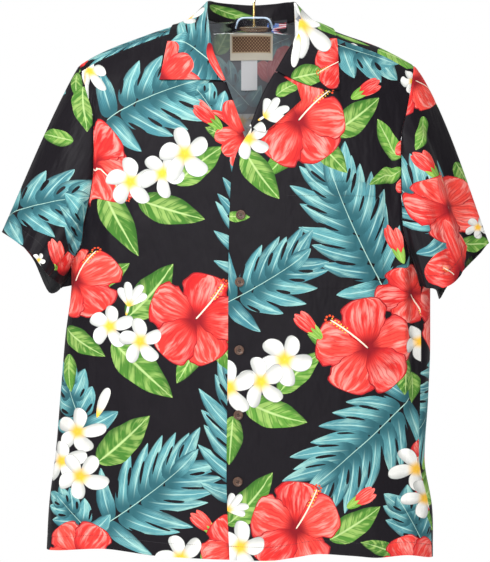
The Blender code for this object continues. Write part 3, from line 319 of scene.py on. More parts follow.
def planted(points: Array) -> kdtree.KDTree:
    """A tree that finds the nearest of some points."""
    tree = kdtree.KDTree(len(points))
    for k, point in enumerate(points):
        tree.insert(point, k)
    tree.balance()
    return tree


def runs_left(outline: Array) -> bool:
    """Whether an outline runs anticlockwise."""
    after = np.roll(outline, -1, axis=0)
    return bool(np.sum(outline[:, 0] * after[:, 1] - after[:, 0] * outline[:, 1]) > 0)


def neck_round(sweep: Array | float) -> tuple[Array, Array]:
    """X and turn over the shoulder of the neck seam, from one side at -pi / 2 to the other."""
    middle, half = (NECK_LEFT_X + NECK_RIGHT_X) / 2, (NECK_LEFT_X - NECK_RIGHT_X) / 2
    return (middle + half * np.sin(sweep),
            YOKE_FRONT_TURN + (BACK_NECK_TURN - YOKE_FRONT_TURN) * np.cos(sweep))


def link(name: str, data: bpy.types.ID) -> bpy.types.Object:
    """Put an object with its data into the scene."""
    item = bpy.data.objects.new(name, data)
    bpy.context.scene.collection.objects.link(item)
    return item


def crowded(count: int, near: Sequence[float], span: float) -> Array:
    """Shares from 0 to 1 with extra ones close to both ends.

    Args:
        count: How many even steps.
        near: Distances from each end that get a share of their own.
        span: Length that the shares run over.

    Returns:
        The sorted shares.
    """
    even = np.linspace(0, 1, count)
    extra = np.array(near) / span
    inner = even[(even > extra.max() + 0.3 / count) & (even < 1 - extra.max() - 0.3 / count)]
    return np.sort(np.concatenate([[0.0], extra, inner, 1 - extra, [1.0]]))


# --- the body's form
@dataclass(frozen=True)
class BodyForm:
    """The filled body that the panels lie on."""

    def centre(self, height: Array) -> Array:
        """X of the middle of a section."""
        return (SECTIONS("left", height) + SECTIONS("right", height)) / 2

    def half_width(self, height: Array) -> Array:
        """Half the width of a section."""
        return (SECTIONS("left", height) - SECTIONS("right", height)) / 2

    def x_at_angle(self, angle: Array, height: Array) -> Array:
        """X on a section at an angle from its centre front."""
        turn = signed_power(np.sin(np.radians(angle)), 2 / SQUARENESS)
        return self.centre(height) + self.half_width(height) * turn

    def angle_at_x(self, x: Array, height: Array) -> Array:
        """Angle from the centre front at a given X on the front face."""
        share = (x - self.centre(height)) / self.half_width(height)
        return np.degrees(np.arcsin(signed_power(share, SQUARENESS / 2)))

    def fold_depth(self, x: Array, height: Array, face: str) -> Array:
        """How far the folds stand out of a face.

        Args:
            x: Places across it.
            height: Heights above the hem line.
            face: "front" or "back".

        Returns:
            The depth of the folds, minus in a trough.
        """
        total = np.zeros(np.broadcast(x, height).shape)
        for row in BODY_FOLDS:
            if row["face"] != face:
                continue
            t = (height - row["low"]) / (row["high"] - row["low"])
            line = row["x_low"] + (row["x_high"] - row["x_low"]) * t
            reach = np.sin(math.pi * np.clip(t, 0, 1)) ** 2
            total = total + row["depth"] * reach * np.exp(-((x - line) / row["width"]) ** 2)
        return total

    def face_depth(self, x: Array, height: Array, face: str) -> Array:
        """How far a face stands from the side line at a place on it."""
        across = np.clip(np.abs(x - self.centre(height)) / self.half_width(height), 0.0, 1.0)
        full = SECTIONS(face, height) * (1 - across ** SQUARENESS) ** (1 / SQUARENESS)
        rounding = SHOULDER_FRONT if face == "front" else SHOULDER_BACK
        t = np.clip((SHOULDER_LINE("height", x) - height) / rounding, 0.0, 1.0)
        shoulder = np.sqrt(1 - (1 - t) ** 2)
        fullness = np.clip(full / SECTIONS(face, height) / 0.5, 0.0, 1.0)
        return full * shoulder + self.fold_depth(x, height, face) * fullness * shoulder

    def on_face(self, x: Array, height: Array, face: str) -> Array:
        """Points of the outer surface at (x, height) on the front or back."""
        x, height = np.broadcast_arrays(np.asarray(x, float), np.asarray(height, float))
        sign = -1.0 if face == "front" else 1.0
        return np.stack([x, sign * self.face_depth(x, height, face), height], axis=-1)

    def over_shoulder(self, x: Array, turn: Array) -> Array:
        """Points over the shoulder line, from the front at -90 to the back at 90."""
        x, turn = np.broadcast_arrays(np.asarray(x, float), np.radians(np.asarray(turn, float)))
        rounding = np.where(turn < 0, SHOULDER_FRONT, SHOULDER_BACK)
        height = SHOULDER_LINE("height", x) - rounding * (1 - np.cos(turn))
        front, back = self.face_depth(x, height, "front"), self.face_depth(x, height, "back")
        return np.stack([x, np.where(turn < 0, -front, back), height], axis=-1)

    def ring(self, angle: Array, level: Array, share: float) -> Array:
        """Points at angles round the body, low down where the hem's wave still shows."""
        x = self.x_at_angle(angle, level)
        front = np.cos(np.radians(angle)) > 0
        height = np.where(front, HEM("front", x), HEM("back", x)) * (1 - share) + level
        reach = signed_power(np.abs(np.cos(np.radians(angle))), 2 / SQUARENESS)
        side = np.where(front, -SECTIONS("front", height) * reach, SECTIONS("back", height) * reach)
        ahead = self.on_face(x, height, "front")[..., 1]
        behind = self.on_face(x, height, "back")[..., 1]
        face = np.where(front, ahead, behind)
        return np.stack([x, side + (face - side) * smooth((reach - 0.25) / 0.2), height], axis=-1)

    def armhole_x(self, side: str, face: str, height: Array) -> Array:
        """X of the armhole seam at a height."""
        return self.x_at_angle(ARMHOLE[side](face, height) * (-1 if side == "right" else 1), height)

    def yoke_front_end(self, side: str) -> float:
        """Height at which the front yoke seam meets the armhole."""
        height = ARMHOLE[side].key[-1] - YOKE_FRONT_DROP
        for _ in range(6):
            height = SHOULDER_LINE("height", self.armhole_x(side, "front", height)) - YOKE_FRONT_DROP
        return float(height)

    def armhole_at_turn(self, side: str, turn: float) -> float:
        """X of the armhole where the surface has turned this far over the shoulder."""
        face, rounding = ("front", SHOULDER_FRONT) if turn < 0 else ("back", SHOULDER_BACK)
        tip = ARMHOLE[side].key[-1]
        height = tip
        for _ in range(8):
            x = self.armhole_x(side, face, height)
            height = SHOULDER_LINE("height", x) - rounding * (1 - math.cos(math.radians(turn)))
            height = min(height, tip)
        return float(x)


def grid_normals(grid: Array, closed: bool = False) -> Array:
    """Unit normals of a grid of points whose rows run along the first axis."""
    if closed:
        along = np.roll(grid, -1, axis=1) - np.roll(grid, 1, axis=1)
    else:
        along = np.gradient(grid, axis=1)
    return unit(np.cross(along, np.gradient(grid, axis=0)))


# --- a panel's grid of places
class Lattice:
    """A grid of outer points with the flat place of each, read anywhere between its nodes."""

    def __init__(self, grid: Array, flat: Array, outward: Sequence[float] | Array,
                 thickness: Array | float = CLOTH, closed: bool = False) -> None:
        """Keep the grid and point its normals outwards.

        Args:
            grid: Rows and columns of outer points.
            flat: The place of each on the flat cloth.
            outward: Rough outward direction, for all or for each point.
            thickness: Of the cloth, for all or for each point.
            closed: Whether the first column meets the last.
        """
        normals = grid_normals(grid)
        if closed:
            seam = unit(normals[:, 0] + normals[:, -1])
            normals[:, 0], normals[:, -1] = seam, seam
        self.grid, self.flat = grid, flat
        self.normals = normals * np.sign(np.sum(normals * np.asarray(outward, float)))
        self.thickness = np.broadcast_to(thickness, grid.shape[:2]).astype(float)

    def roll_in(self, edges: str, depth: float = SEAM_DIP, reach: float = 0.003) -> "Lattice":
        """Let the cloth dip towards the seams it ends at.

        Args:
            edges: Any of "low", "high", "first" and "last", parted by blanks.
            depth: How far it dips.
            reach: From the seam to where the dip ends.

        Returns:
            The lattice itself.
        """
        rows, columns = arc(self.grid, 0), arc(self.grid, 1)
        away = {"low": rows, "high": rows[-1:] - rows, "first": columns, "last": columns[:, -1:] - columns}
        dip = np.zeros(self.grid.shape[:2])
        for edge in edges.split():
            dip = np.maximum(dip, depth * (1 - smooth(away[edge] / reach)))
        self.grid = self.grid - self.normals * dip[..., None]
        return self

    def locate(self, field: Array, targets: Array) -> Array:
        """Find where a field of the lattice takes given values.

        Args:
            field: Two values for each node, such as the flat place.
            targets: The values looked for.

        Returns:
            Row and column of each target, as fractions.
        """
        rows, columns = field.shape[:2]
        tree = planted([(x, y, 0.0) for x, y in field.reshape(-1, 2)])
        near = np.array([tree.find((x, y, 0.0))[1] for x, y in targets])
        place = np.stack([near // columns, near % columns], axis=-1).astype(float)
        for _ in range(9):
            i = np.clip(place[:, 0].astype(int), 0, rows - 2)
            j = np.clip(place[:, 1].astype(int), 0, columns - 2)
            fi, fj = (place[:, 0] - i)[:, None], (place[:, 1] - j)[:, None]
            a, b, c, d = field[i, j], field[i, j + 1], field[i + 1, j], field[i + 1, j + 1]
            error = targets - ((a * (1 - fj) + b * fj) * (1 - fi) + (c * (1 - fj) + d * fj) * fi)
            down, along = (c - a) * (1 - fj) + (d - b) * fj, (b - a) * (1 - fi) + (d - c) * fi
            det = down[:, 0] * along[:, 1] - down[:, 1] * along[:, 0]
            det = np.where(np.abs(det) < 1e-14, 1e-14, det)
            step = np.stack([error[:, 0] * along[:, 1] - error[:, 1] * along[:, 0],
                             down[:, 0] * error[:, 1] - down[:, 1] * error[:, 0]], axis=-1)
            place = place + np.clip(step / det[:, None], -1.2, 1.2)
            place = np.clip(place, 0, (rows - 1, columns - 1))
        return place

    def read(self, field: Array, place: Array, soft: bool = True) -> Array:
        """Read a field between the nodes.

        Args:
            field: One value or vector for each node.
            place: Rows and columns, as fractions.
            soft: Along a smooth curve, and not straight from node to node.

        Returns:
            The field at each place.
        """
        field = field if field.ndim == 3 else field[..., None]
        rows, columns = field.shape[:2]
        i = np.clip(place[:, 0].astype(int), 0, rows - 2)
        j = np.clip(place[:, 1].astype(int), 0, columns - 2)
        wi, wj = self._weights(place[:, 0] - i, soft), self._weights(place[:, 1] - j, soft)
        total = np.zeros((len(place), field.shape[2]))
        for m in range(4):
            for n in range(4):
                node = field[np.clip(i + m - 1, 0, rows - 1), np.clip(j + n - 1, 0, columns - 1)]
                total += (wi[m] * wj[n])[:, None] * node
        return total

    def cut(self) -> Triple:
        """Width, length and area of the flat cloth."""
        flat = self.flat
        width, length = flat.reshape(-1, 2).max(axis=0) - flat.reshape(-1, 2).min(axis=0)
        p, q = flat[1:, 1:] - flat[:-1, :-1], flat[1:, :-1] - flat[:-1, 1:]
        area = float(np.abs(np.sum(p[..., 0] * q[..., 1] - p[..., 1] * q[..., 0])) / 2)
        return float(width), float(length), min(area, float(width * length))

    @staticmethod
    def _weights(t: Array, soft: bool) -> list[Array]:
        """Shares of the four nodes round a place along one direction."""
        if not soft:
            return [np.zeros_like(t), 1 - t, t, np.zeros_like(t)]
        return [(-t + 2 * t ** 2 - t ** 3) / 2, (2 - 5 * t ** 2 + 3 * t ** 3) / 2,
                (t + 4 * t ** 2 - 3 * t ** 3) / 2, (t ** 3 - t ** 2) / 2]


def arc(grid: Array, axis: int, kept: Sequence[int] = (0, 1, 2)) -> Array:
    """Length along a grid from its first row or column, over the kept coordinates."""
    steps = np.diff(grid[..., list(kept)], axis=axis)
    length = np.cumsum(np.linalg.norm(steps, axis=-1), axis=axis)
    return np.concatenate([np.zeros_like(np.take(length, [0], axis=axis)), length], axis=axis)


# --- the garment's cut
@dataclass
class Pattern:
    """Every panel of the shirt as a lattice, in the shape it hangs in."""

    form: BodyForm = field(default_factory=BodyForm)
    step: float = 0.005
    panels: dict[str, Lattice] = field(default_factory=dict)
    raw: dict[str, Array] = field(default_factory=dict)

    # Rows close to a hem, and how many steps each panel has across and up or round.
    LOW = (0.0, 0.001, 0.004, 0.009, 0.014, 0.0176, 0.019, 0.0204, 0.025)
    FRONT_ACROSS, FRONT_UP, BACK_ACROSS, BACK_UP = 46, 64, 110, 48
    YOKE_SHOULDER, YOKE_NECK, YOKE_BACK, SLEEVE_DOWN = 34, 40, 36, 38
    COLLAR_ROUND, STAND, FOLD = 112, 8, 9

    def build(self) -> dict[str, Lattice]:
        """Lay out all panels.

        Returns:
            The lattices by name.
        """
        for side in ("right", "left"):
            self.raw[f"front_{side}"] = self._front(side)
        self.raw["back_panel"] = self._back()
        self._yoke()
        self._body_lattices()
        for side in ("right", "left"):
            self._sleeve(side)
        self.places, self.outs = self._cloud()
        self.tree = planted(self.places)
        self._collar()
        for side in ("right", "left"):
            self._lapel(side)
        self._pocket()
        return self.panels

    def _levels(self, side: str) -> Array:
        """Shares of the way from the hem to the underarm."""
        reach = ARMHOLE[side].key[0]
        rest = np.linspace(self.LOW[-1], reach, int((reach - self.LOW[-1]) / self.step) + 1)[1:]
        return np.concatenate([np.array(self.LOW) / reach, rest / reach])

    def _front(self, side: str) -> Array:
        """Outer points of a front, rows from hem to yoke and columns from edge to side."""
        form, sign = self.form, SIGN[side]
        edge, under = FRONT_EDGE[side], ARMHOLE[side].key[0]
        near = np.append([0, NEAR_SEAM[0]], 0.004 * np.arange(1, 14))
        share = np.sort(np.append(np.linspace(0, 1, self.FRONT_ACROSS)[1:-1], [0.9872, 0.9945, 1.0]))
        rows = []
        for v in self._levels(side):
            level = under * v
            end = SIDE_SEAM(side, level) * sign
            start = form.angle_at_x(edge("x", level) + sign * near, level)
            angle = np.append(start, start[-1] + (end - start[-1]) * share)
            rows.append(form.ring(angle, level, v))
        self.low_rows = len(rows)
        low_x = rows[-1][len(near) - 1:, 0]
        low_share = ((low_x - low_x[0]) / (low_x[-1] - low_x[0]))[1:]
        neck_x = NECK_RIGHT_X if side == "right" else NECK_LEFT_X
        top_in = SHOULDER_LINE("height", neck_x) - YOKE_FRONT_DROP
        top_out = form.yoke_front_end(side)
        for t in crowded(self.FRONT_UP, NEAR_SEAM, top_in - under)[1:]:
            inner, outer = under + (top_in - under) * t, under + (top_out - under) * t
            x_in, x_out = edge("x", inner), form.armhole_x(side, "front", outer)
            start = x_in + sign * near
            way = low_share + (1 - (1 - share) ** 1.25 - low_share) * smooth(t / 0.6)
            x = np.append(start, start[-1] + (x_out - start[-1]) * way)
            height = inner + (outer - inner) * (x - x_in) / (x_out - x_in)
            slope = top_in + (top_out - top_in) * (x - x_in) / (x_out - x_in)
            height = height + (SHOULDER_LINE("height", x) - YOKE_FRONT_DROP - slope) * t ** 3
            rows.append(form.on_face(x, height, "front"))
        return np.array(rows)

    def _back(self) -> Array:
        """Outer points of the back, columns from wearer's left round to wearer's right."""
        form, low, rows = self.form, ARMHOLE["left"].key[0], []
        share = crowded(self.BACK_ACROSS, NEAR_SEAM, 0.62)
        under = low + (ARMHOLE["right"].key[0] - low) * share
        for v in self._levels("left"):
            level = under * v
            start, end = SIDE_SEAM("left", level[0]), 360 - SIDE_SEAM("right", level[-1])
            rows.append(form.ring(start + (end - start) * share, level, v))
        for t in crowded(self.BACK_UP, NEAR_SEAM, 0.25)[1:]:
            level = under + (YOKE_SEAM_HEIGHT - under) * t
            start = ARMHOLE["left"]("back", level[0])
            end = 360 - ARMHOLE["right"]("back", level[-1])
            rows.append(form.ring(start + (end - start) * share, level, 1.0))
        return np.array(rows)

    def _yoke(self) -> None:
        """Outer points of the yoke, columns across the shoulders, rows from front to back."""
        form = self.form
        ends = {side: form.armhole_x(side, "front", form.yoke_front_end(side)) for side in ARMHOLE}
        shares = crowded(self.YOKE_SHOULDER, NEAR_SEAM, 0.15)
        right = ends["right"] + (NECK_RIGHT_X - ends["right"]) * shares
        left = NECK_LEFT_X + (ends["left"] - NECK_LEFT_X) * shares
        neck_x, neck_turn = neck_round(np.linspace(-math.pi / 2, math.pi / 2, self.YOKE_NECK)[1:-1])
        start_x = np.concatenate([right, neck_x, left])
        start_turn = np.concatenate([np.full(len(right), YOKE_FRONT_TURN), neck_turn,
                                     np.full(len(left), YOKE_FRONT_TURN)])
        share = np.linspace(0, 1, len(start_x))
        low, high = (form.armhole_x(side, "back", YOKE_SEAM_HEIGHT) for side in ("right", "left"))
        end_x = low + (high - low) * share
        drop = SHOULDER_LINE("height", end_x) - YOKE_SEAM_HEIGHT
        end_turn = np.degrees(np.arccos(np.clip(1 - drop / SHOULDER_BACK, -1, 1)))
        rows, turns = [], []
        for r in crowded(self.YOKE_BACK, NEAR_SEAM, 0.2):
            turn = start_turn + (end_turn - start_turn) * r
            x = start_x + (end_x - start_x) * smooth(r) ** 0.8
            for side, column, weight in (("right", 0, 1 - share / 0.3),
                                         ("left", -1, 1 - (1 - share) / 0.3)):
                target = form.armhole_at_turn(side, float(turn[column]))
                x = x + (target - x[column]) * np.clip(weight, 0, 1) ** 2
            rows.append(form.over_shoulder(x, turn))
            turns.append(turn)
        self.raw["back_yoke"], self.yoke_turn = np.array(rows), np.array(turns)

    def _over_arc(self, x: Array, turn: Array) -> Array:
        """Length of cloth from the shoulder line to a turn over it."""
        steps = np.linspace(0, 1, 24)
        points = self.form.over_shoulder(x[..., None], turn[..., None] * steps)
        lengths = np.linalg.norm(np.diff(points, axis=-2), axis=-1).sum(axis=-1)
        return lengths * np.sign(turn)

    def _body_lattices(self) -> None:
        """Flat places, hems and seams of the fronts, the back and the yoke."""
        hem = np.array([FOLDED if level < 0.0185 else CLOTH for level in self.LOW])
        middle = np.array([0.01, 0, 0])
        for side in ("right", "left"):
            grid = self.raw[f"front_{side}"]
            across = grid[:, :1, 0] + SIGN[side] * arc(grid, 1)
            flat = np.stack([across, grid[:1, :, 2] + arc(grid, 0, (1, 2))], axis=-1)
            thickness = np.full(grid.shape[:2], CLOTH)
            thickness[:len(hem)] = hem[:, None]
            thickness[:, :10] = FOLDED
            lattice = Lattice(grid, flat, (grid + middle) * (1, 1, 0), thickness)
            if side == "right":
                line = FRONT_EDGE["left"]("x", grid[..., 2])
                inside = smooth((grid[..., 0] - line + LAP_RAMP) / LAP_RAMP) * (grid[..., 2] < LAP_TOP)
                lattice.grid = grid - lattice.normals * (inside * LAP_STEP)[..., None]
            self.panels[f"front_{side}"] = self._press_hem(
                lattice, arc(grid, 0, (1, 2))).roll_in("last high")
        grid = self.raw["back_panel"]
        across = arc(grid, 1)
        centre = grid[:, across.shape[1] // 2]
        longer = np.cumsum(np.linalg.norm(np.diff(centre[:, 1:], axis=0, prepend=centre[:1, 1:]), axis=1)
                           - np.diff(centre[:, 2], prepend=centre[0, 2]))
        start = [np.interp(0.01, -row[:, 0], along) for row, along in zip(grid, across)]
        flat = np.stack([across - np.array(start)[:, None],
                         grid[..., 2] + np.interp(grid[..., 2], centre[:, 2], longer)], axis=-1)
        thickness = np.full(grid.shape[:2], CLOTH)
        thickness[:len(hem)] = hem[:, None]
        lattice = Lattice(grid, flat, (grid + middle) * (1, 1, 0), thickness)
        self.panels["back_panel"] = self._press_hem(
            lattice, arc(grid, 0, (1, 2))).roll_in("first last high")
        grid = self.raw["back_yoke"]
        flat = np.stack([-1.04 * grid[..., 0], -self._over_arc(grid[..., 0], self.yoke_turn)], axis=-1)
        lattice = Lattice(grid, flat, (0.0, 0.3, 1.0))
        self.panels["back_yoke"] = lattice.roll_in("first last low high")

    @staticmethod
    def _press_hem(lattice: Lattice, up: Array) -> Lattice:
        """Draw the cloth in a little along the line of stitches, given each point's way up from the hem."""
        dip = 0.0004 * np.exp(-((up - HEM_DEPTH) / 0.0012) ** 2)
        lattice.grid = lattice.grid - lattice.normals * dip[..., None]
        return lattice

    @staticmethod
    def _crown(t: float) -> float:
        """Share of the sleeve's crown on the way from cap to hem, fullest a third of the way down."""
        return t ** 0.7 * (1 - t) ** 1.4 / 0.263

    def _sleeve(self, side: str) -> None:
        """Outer points of a sleeve, rows from cap to hem, columns round it from the underarm."""
        hem, sign = SLEEVE_HEM[side], SIGN[side]
        front = self.raw[f"front_{side}"][self.low_rows - 1:, -1]
        yoke = self.raw["back_yoke"][:, 0 if side == "right" else -1]
        back = self.raw["back_panel"][self.low_rows:, -1 if side == "right" else 0]
        split = int(np.argmax(yoke[:, 2]))
        parts = [yoke[split:split + 1], yoke[:split][::-1][:-1], front[::-1], back,
                 yoke[split + 1:][::-1][1:]]
        ring = np.concatenate(parts)
        middle = (ring[:, 2].max() + ring[:, 2].min()) / 2
        reach = np.where(ring[:, 1] < 0, -ring[:, 1].min(), ring[:, 1].max())
        rise = (ring[:, 2] - middle) / (ring[:, 2].max() - middle)
        angle = np.degrees(np.arctan2(-ring[:, 1] / reach, rise)) % 360
        angle[0] = 0.0
        first = len(parts[0]) + len(parts[1]) + len(parts[2]) - 1
        order = np.append(np.arange(first, first + len(ring)) % len(ring), first)
        ring, angle = ring[order], angle[order]
        end = np.stack([hem("x", angle), hem("y", angle), hem("height", angle)], axis=-1)
        radians = np.radians(angle)
        radial = np.stack([sign * 0.75 * np.cos(radians), -np.sin(radians),
                           0.66 * np.cos(radians)], axis=-1)
        tail = 1 - np.array(self.LOW[::-1]) / SLEEVE_LENGTH
        head = np.append([0, *np.array(NEAR_SEAM) / SLEEVE_LENGTH],
                         np.linspace(0.03, tail[0], self.SLEEVE_DOWN)[:-1])
        rows = []
        for t in np.concatenate([head, tail]):
            fall = (1 - t) * ring + t * end
            crown = SLEEVE_BULGE[side] * self._crown(t) * (0.5 + 0.5 * np.cos(radians))
            crease = np.zeros(len(ring))
            for row in SLEEVE_FOLDS:
                if row["side"] == side:
                    line = row["angle_cap"] + (row["angle_hem"] - row["angle_cap"]) * t
                    depth = row["depth"] * np.exp(-((angle - line) / row["width"]) ** 2)
                    crease += depth * smooth(t / 0.25)
            rows.append(fall + radial * (crown + crease)[:, None])
        grid = np.array(rows)
        round_it = arc(grid, 1)
        top = int(np.argmin(np.abs((angle + 180) % 360 - 180)))
        across = (round_it - round_it[:, top][:, None]) * -sign
        across = across.mean(axis=0) + 0.25 * (across - across.mean(axis=0))
        up = arc(grid, 0)[-1:] - arc(grid, 0)
        flat = np.stack([across, up], axis=-1)
        thickness = np.full(grid.shape[:2], CLOTH)
        thickness[-6:] = FOLDED
        lattice = Lattice(grid, flat, grid - grid.mean(axis=1, keepdims=True), thickness, closed=True)
        self.panels[f"sleeve_{side}"] = self._press_hem(lattice, up).roll_in("low")

    # --- collar, lapels, pocket
    def _cloud(self) -> tuple[Array, Array]:
        """Dense points of the body and their outward directions."""
        form = self.form
        top = form.over_shoulder(np.linspace(-0.235, 0.225, 230)[None, :], np.linspace(-90, 90, 180)[:, None])
        front = form.on_face(np.linspace(-0.235, 0.225, 230)[None, :], np.linspace(0.36, 0.66, 110)[:, None],
                             "front")
        places, outs = [], []
        for grid, guide in ((top, top * (0.2, 1.0, 0.0) + (0, 0, 0.05)), (front, np.array([0, -1.0, 0]))):
            normals = grid_normals(grid)
            flip = np.sign(np.sum(normals * guide, axis=-1, keepdims=True))
            places.append(grid.reshape(-1, 3))
            outs.append((normals * flip).reshape(-1, 3))
        return np.concatenate(places), np.concatenate(outs)

    def _near(self, point: Array) -> int:
        """Index of the body point nearest to a place."""
        return self.tree.find(point)[1]

    def _clear(self, points: Array, lift: float | Array) -> Array:
        """Push points outwards until they stand clear of the body."""
        flat = points.reshape(-1, 3).copy()
        lifts = np.broadcast_to(lift, points.shape[:-1]).reshape(-1)
        for _ in range(3):
            for k, point in enumerate(flat):
                near = self._near(point)
                height = float(np.dot(point - self.places[near], self.outs[near]))
                if height < lifts[k]:
                    flat[k] = point + (lifts[k] - height) * self.outs[near]
        return flat.reshape(points.shape)

    def _front_edge(self, side: str, height: float) -> Array:
        """Point on the free edge of a front at a height."""
        line = self.raw[f"front_{side}"][self.low_rows:, 0]
        return read_line(height, line[:, 2], line)

    def _neckline(self, place: float) -> Array:
        """Seam under the collar at a place of its table."""
        for side, share in (("right", place / FRONT_PLACES),
                            ("left", (LAST_PLACE - place) / FRONT_PLACES)):
            if share <= 1:
                top = self.raw[f"front_{side}"][-1, 0, 2]
                return self._front_edge(side, ROLL_LINE[side][1] * (1 - share) + top * share)
        sweep = math.pi * ((place - FRONT_PLACES) / (LAST_PLACE - 2 * FRONT_PLACES) - 0.5)
        return self.form.over_shoulder(*neck_round(sweep))

    @staticmethod
    def _even(directions: Array, rounds: int) -> Array:
        """Even out a row of directions, keeping the two ends."""
        for _ in range(rounds):
            directions[1:-1] = (directions[:-2] + 2 * directions[1:-1] + directions[2:]) / 4
        return unit(directions)

    @staticmethod
    def _corner_out(grid: Array) -> Array:
        """Outward directions that count at the last corner alone, which faces the front."""
        outward = np.zeros_like(grid)
        outward[-1, -1] = (0, -1, 0)
        return outward

    def _collar(self) -> None:
        """Visible face of the collar, from its seam up the stand, over the fold, down the fall."""
        radius, wall = FOLD_RADIUS + COLLAR_WALL, 0.0012
        ends = np.array([0, 0.03, 0.09])
        places = np.concatenate([ends, np.linspace(0.18, LAST_PLACE - 0.18, self.COLLAR_ROUND),
                                 LAST_PLACE - ends[::-1]])
        seams = np.array([self._neckline(float(place)) for place in places])
        normals = np.array([self.outs[self._near(seam)] for seam in seams])
        necks = unit(np.cross(normals, np.gradient(seams, axis=0)))
        necks = necks * np.sign(np.sum(necks * (NECK_MIDDLE - seams), axis=-1, keepdims=True))
        normals, necks = self._even(normals, 40), self._even(necks, 40)
        falls = np.concatenate([np.linspace(0, 0.96, 16)[1:], [0.985, 1.0]])
        columns = []
        for place, seam, normal, neck in zip(places, seams, normals, necks):
            fold = np.array([COLLAR(name, place) for name in ("fold_x", "fold_y", "fold_h")])
            edge = np.array([COLLAR(name, place) for name in ("edge_x", "edge_y", "edge_h")])
            standing = float(smooth(min(place, LAST_PLACE - place) / 3.0))
            base = seam - normal * wall + neck * (0.0006 + (COLLAR_WALL + 0.0003) * standing)
            rise = fold - base
            up = unit(neck * (1 - standing) + unit(rise) * standing)
            outward = normal * (1 - standing) - neck * standing
            outward = unit(outward - up * np.dot(outward, up))
            height = max(float(np.dot(rise, up)) * standing - radius, 0.0004)
            stand = [base + up * height * s for s in np.linspace(0, 1, self.STAND)]
            turn = [stand[-1] + outward * radius * (1 - math.cos(a)) + up * radius * math.sin(a)
                    for a in np.linspace(0, math.pi, self.FOLD)[1:]]
            bend = (turn[-1] + edge) / 2 + np.array([0, 0, COLLAR("sag", place)])
            fall = [(1 - s) ** 2 * turn[-1] + 2 * s * (1 - s) * bend + s * s * edge for s in falls]
            columns.append(np.array(stand + turn + fall))
        grid = np.array(columns).transpose(1, 0, 2)
        lift = (0.003 - 0.0016 * smooth(falls)) + COLLAR_WALL
        first = self.STAND + self.FOLD - 1
        grid[first:] = self._clear(grid[first:], lift[:, None])
        down = arc(grid, 0)
        flat = np.stack([-np.broadcast_to(arc(grid, 1)[first + 4], grid.shape[:2]),
                         np.broadcast_to(down[first - 4] - down, grid.shape[:2])], axis=-1)
        self.panels["collar"] = Lattice(grid, flat, self._corner_out(grid), COLLAR_WALL)
        self.collar_line = grid[0]

    def _lapel(self, side: str) -> None:
        """Visible face of a lapel, rows up the roll line, columns out to its edge."""
        low, high = ROLL_LINE[side]
        outline, radius = np.array(LAPEL_OUTLINE[side]), FOLD_RADIUS + COLLAR_WALL
        shares = np.append(np.linspace(0.03, LAPEL_TIP, 26), np.linspace(LAPEL_TIP, 0.97, 12)[1:])
        rows = []
        for b in shares:
            height = low + (high - low) * b
            start = self._front_edge(side, height)
            along = self._front_edge(side, height + 0.004) - self._front_edge(side, height - 0.004)
            normal = self.outs[self._near(start)]
            neck = unit(np.cross(normal, along))
            neck = neck * np.sign(neck[2])
            outer = self.form.on_face(np.interp(b, outline[:, 0], outline[:, 1]),
                                      np.interp(b, outline[:, 0], outline[:, 2]), "front")
            turn = [start + neck * (0.0009 + radius * math.sin(a))
                    + normal * (radius * (1 - math.cos(a)) - 0.0012)
                    for a in np.linspace(0, math.pi, self.FOLD)]
            spread = [turn[-1] + (outer + normal * (0.0018 + COLLAR_WALL) - turn[-1]) * s
                      for s in np.linspace(0, 1, 19)[1:]]
            rows.append(np.array(turn + spread))
        grid = np.array(rows)
        lift = 0.003 - 0.0014 * smooth(np.linspace(0, 1, 18)) + COLLAR_WALL
        grid[:, self.FOLD:] = self._clear(grid[:, self.FOLD:], lift[None, :])
        up = np.broadcast_to(arc(grid, 0)[:, :1], grid.shape[:2])
        flat = np.stack([SIGN[side] * arc(grid, 1), up], axis=-1)
        self.panels[f"lapel_{side}"] = Lattice(grid, flat, self._corner_out(grid), COLLAR_WALL)

    def _pocket(self) -> None:
        """Outer points of the patch pocket, its print matched to the front's."""
        front = self.panels["front_left"]
        heights = POCKET["low"] + crowded(28, (0.001, 0.0022), 0.147) * (POCKET["high"] - POCKET["low"])
        shares = crowded(26, (0.001, 0.0022), 0.135)
        rows = []
        for height in heights:
            inset = POCKET["cut"] * max(0.0, 1 - (height - POCKET["low"]) / POCKET["cut"])
            left, right = POCKET["x_low"] + inset, POCKET["x_high"] - inset
            rows.append(self.form.on_face(left + (right - left) * shares, height, "front"))
        grid = np.array(rows)
        place = front.locate(front.grid[..., [0, 2]], grid[..., [0, 2]].reshape(-1, 2))
        flat = front.read(front.flat, place).reshape(*grid.shape[:2], 2)
        lattice = Lattice(grid, flat, (0, -1, 0), CLOTH)
        away = arc(grid, 0)[-1:] - arc(grid, 0)
        bulge = 0.0012 * smooth(1 - away / 0.05) * np.sin(math.pi * shares)[None, :] ** 0.6
        press = 0.0003 * np.exp(-((away - 0.019) / 0.0012) ** 2)
        lattice.grid = grid + lattice.normals * (CLOTH + 0.0002 + bulge - press)[..., None]
        self.panels["pocket"] = lattice


# --- the print
class Paint(IntEnum):
    """What a patch of the print is painted with; the wrong sides follow in the same order."""

    GROUND = 0
    PETAL = 1
    STAMEN = 2
    POLLEN = 3
    PLUMERIA = 4
    LEAF = 5
    FROND = 6
    RIB = 7
    BUD = 8
    SHADOW = 9
    SHADE = 10


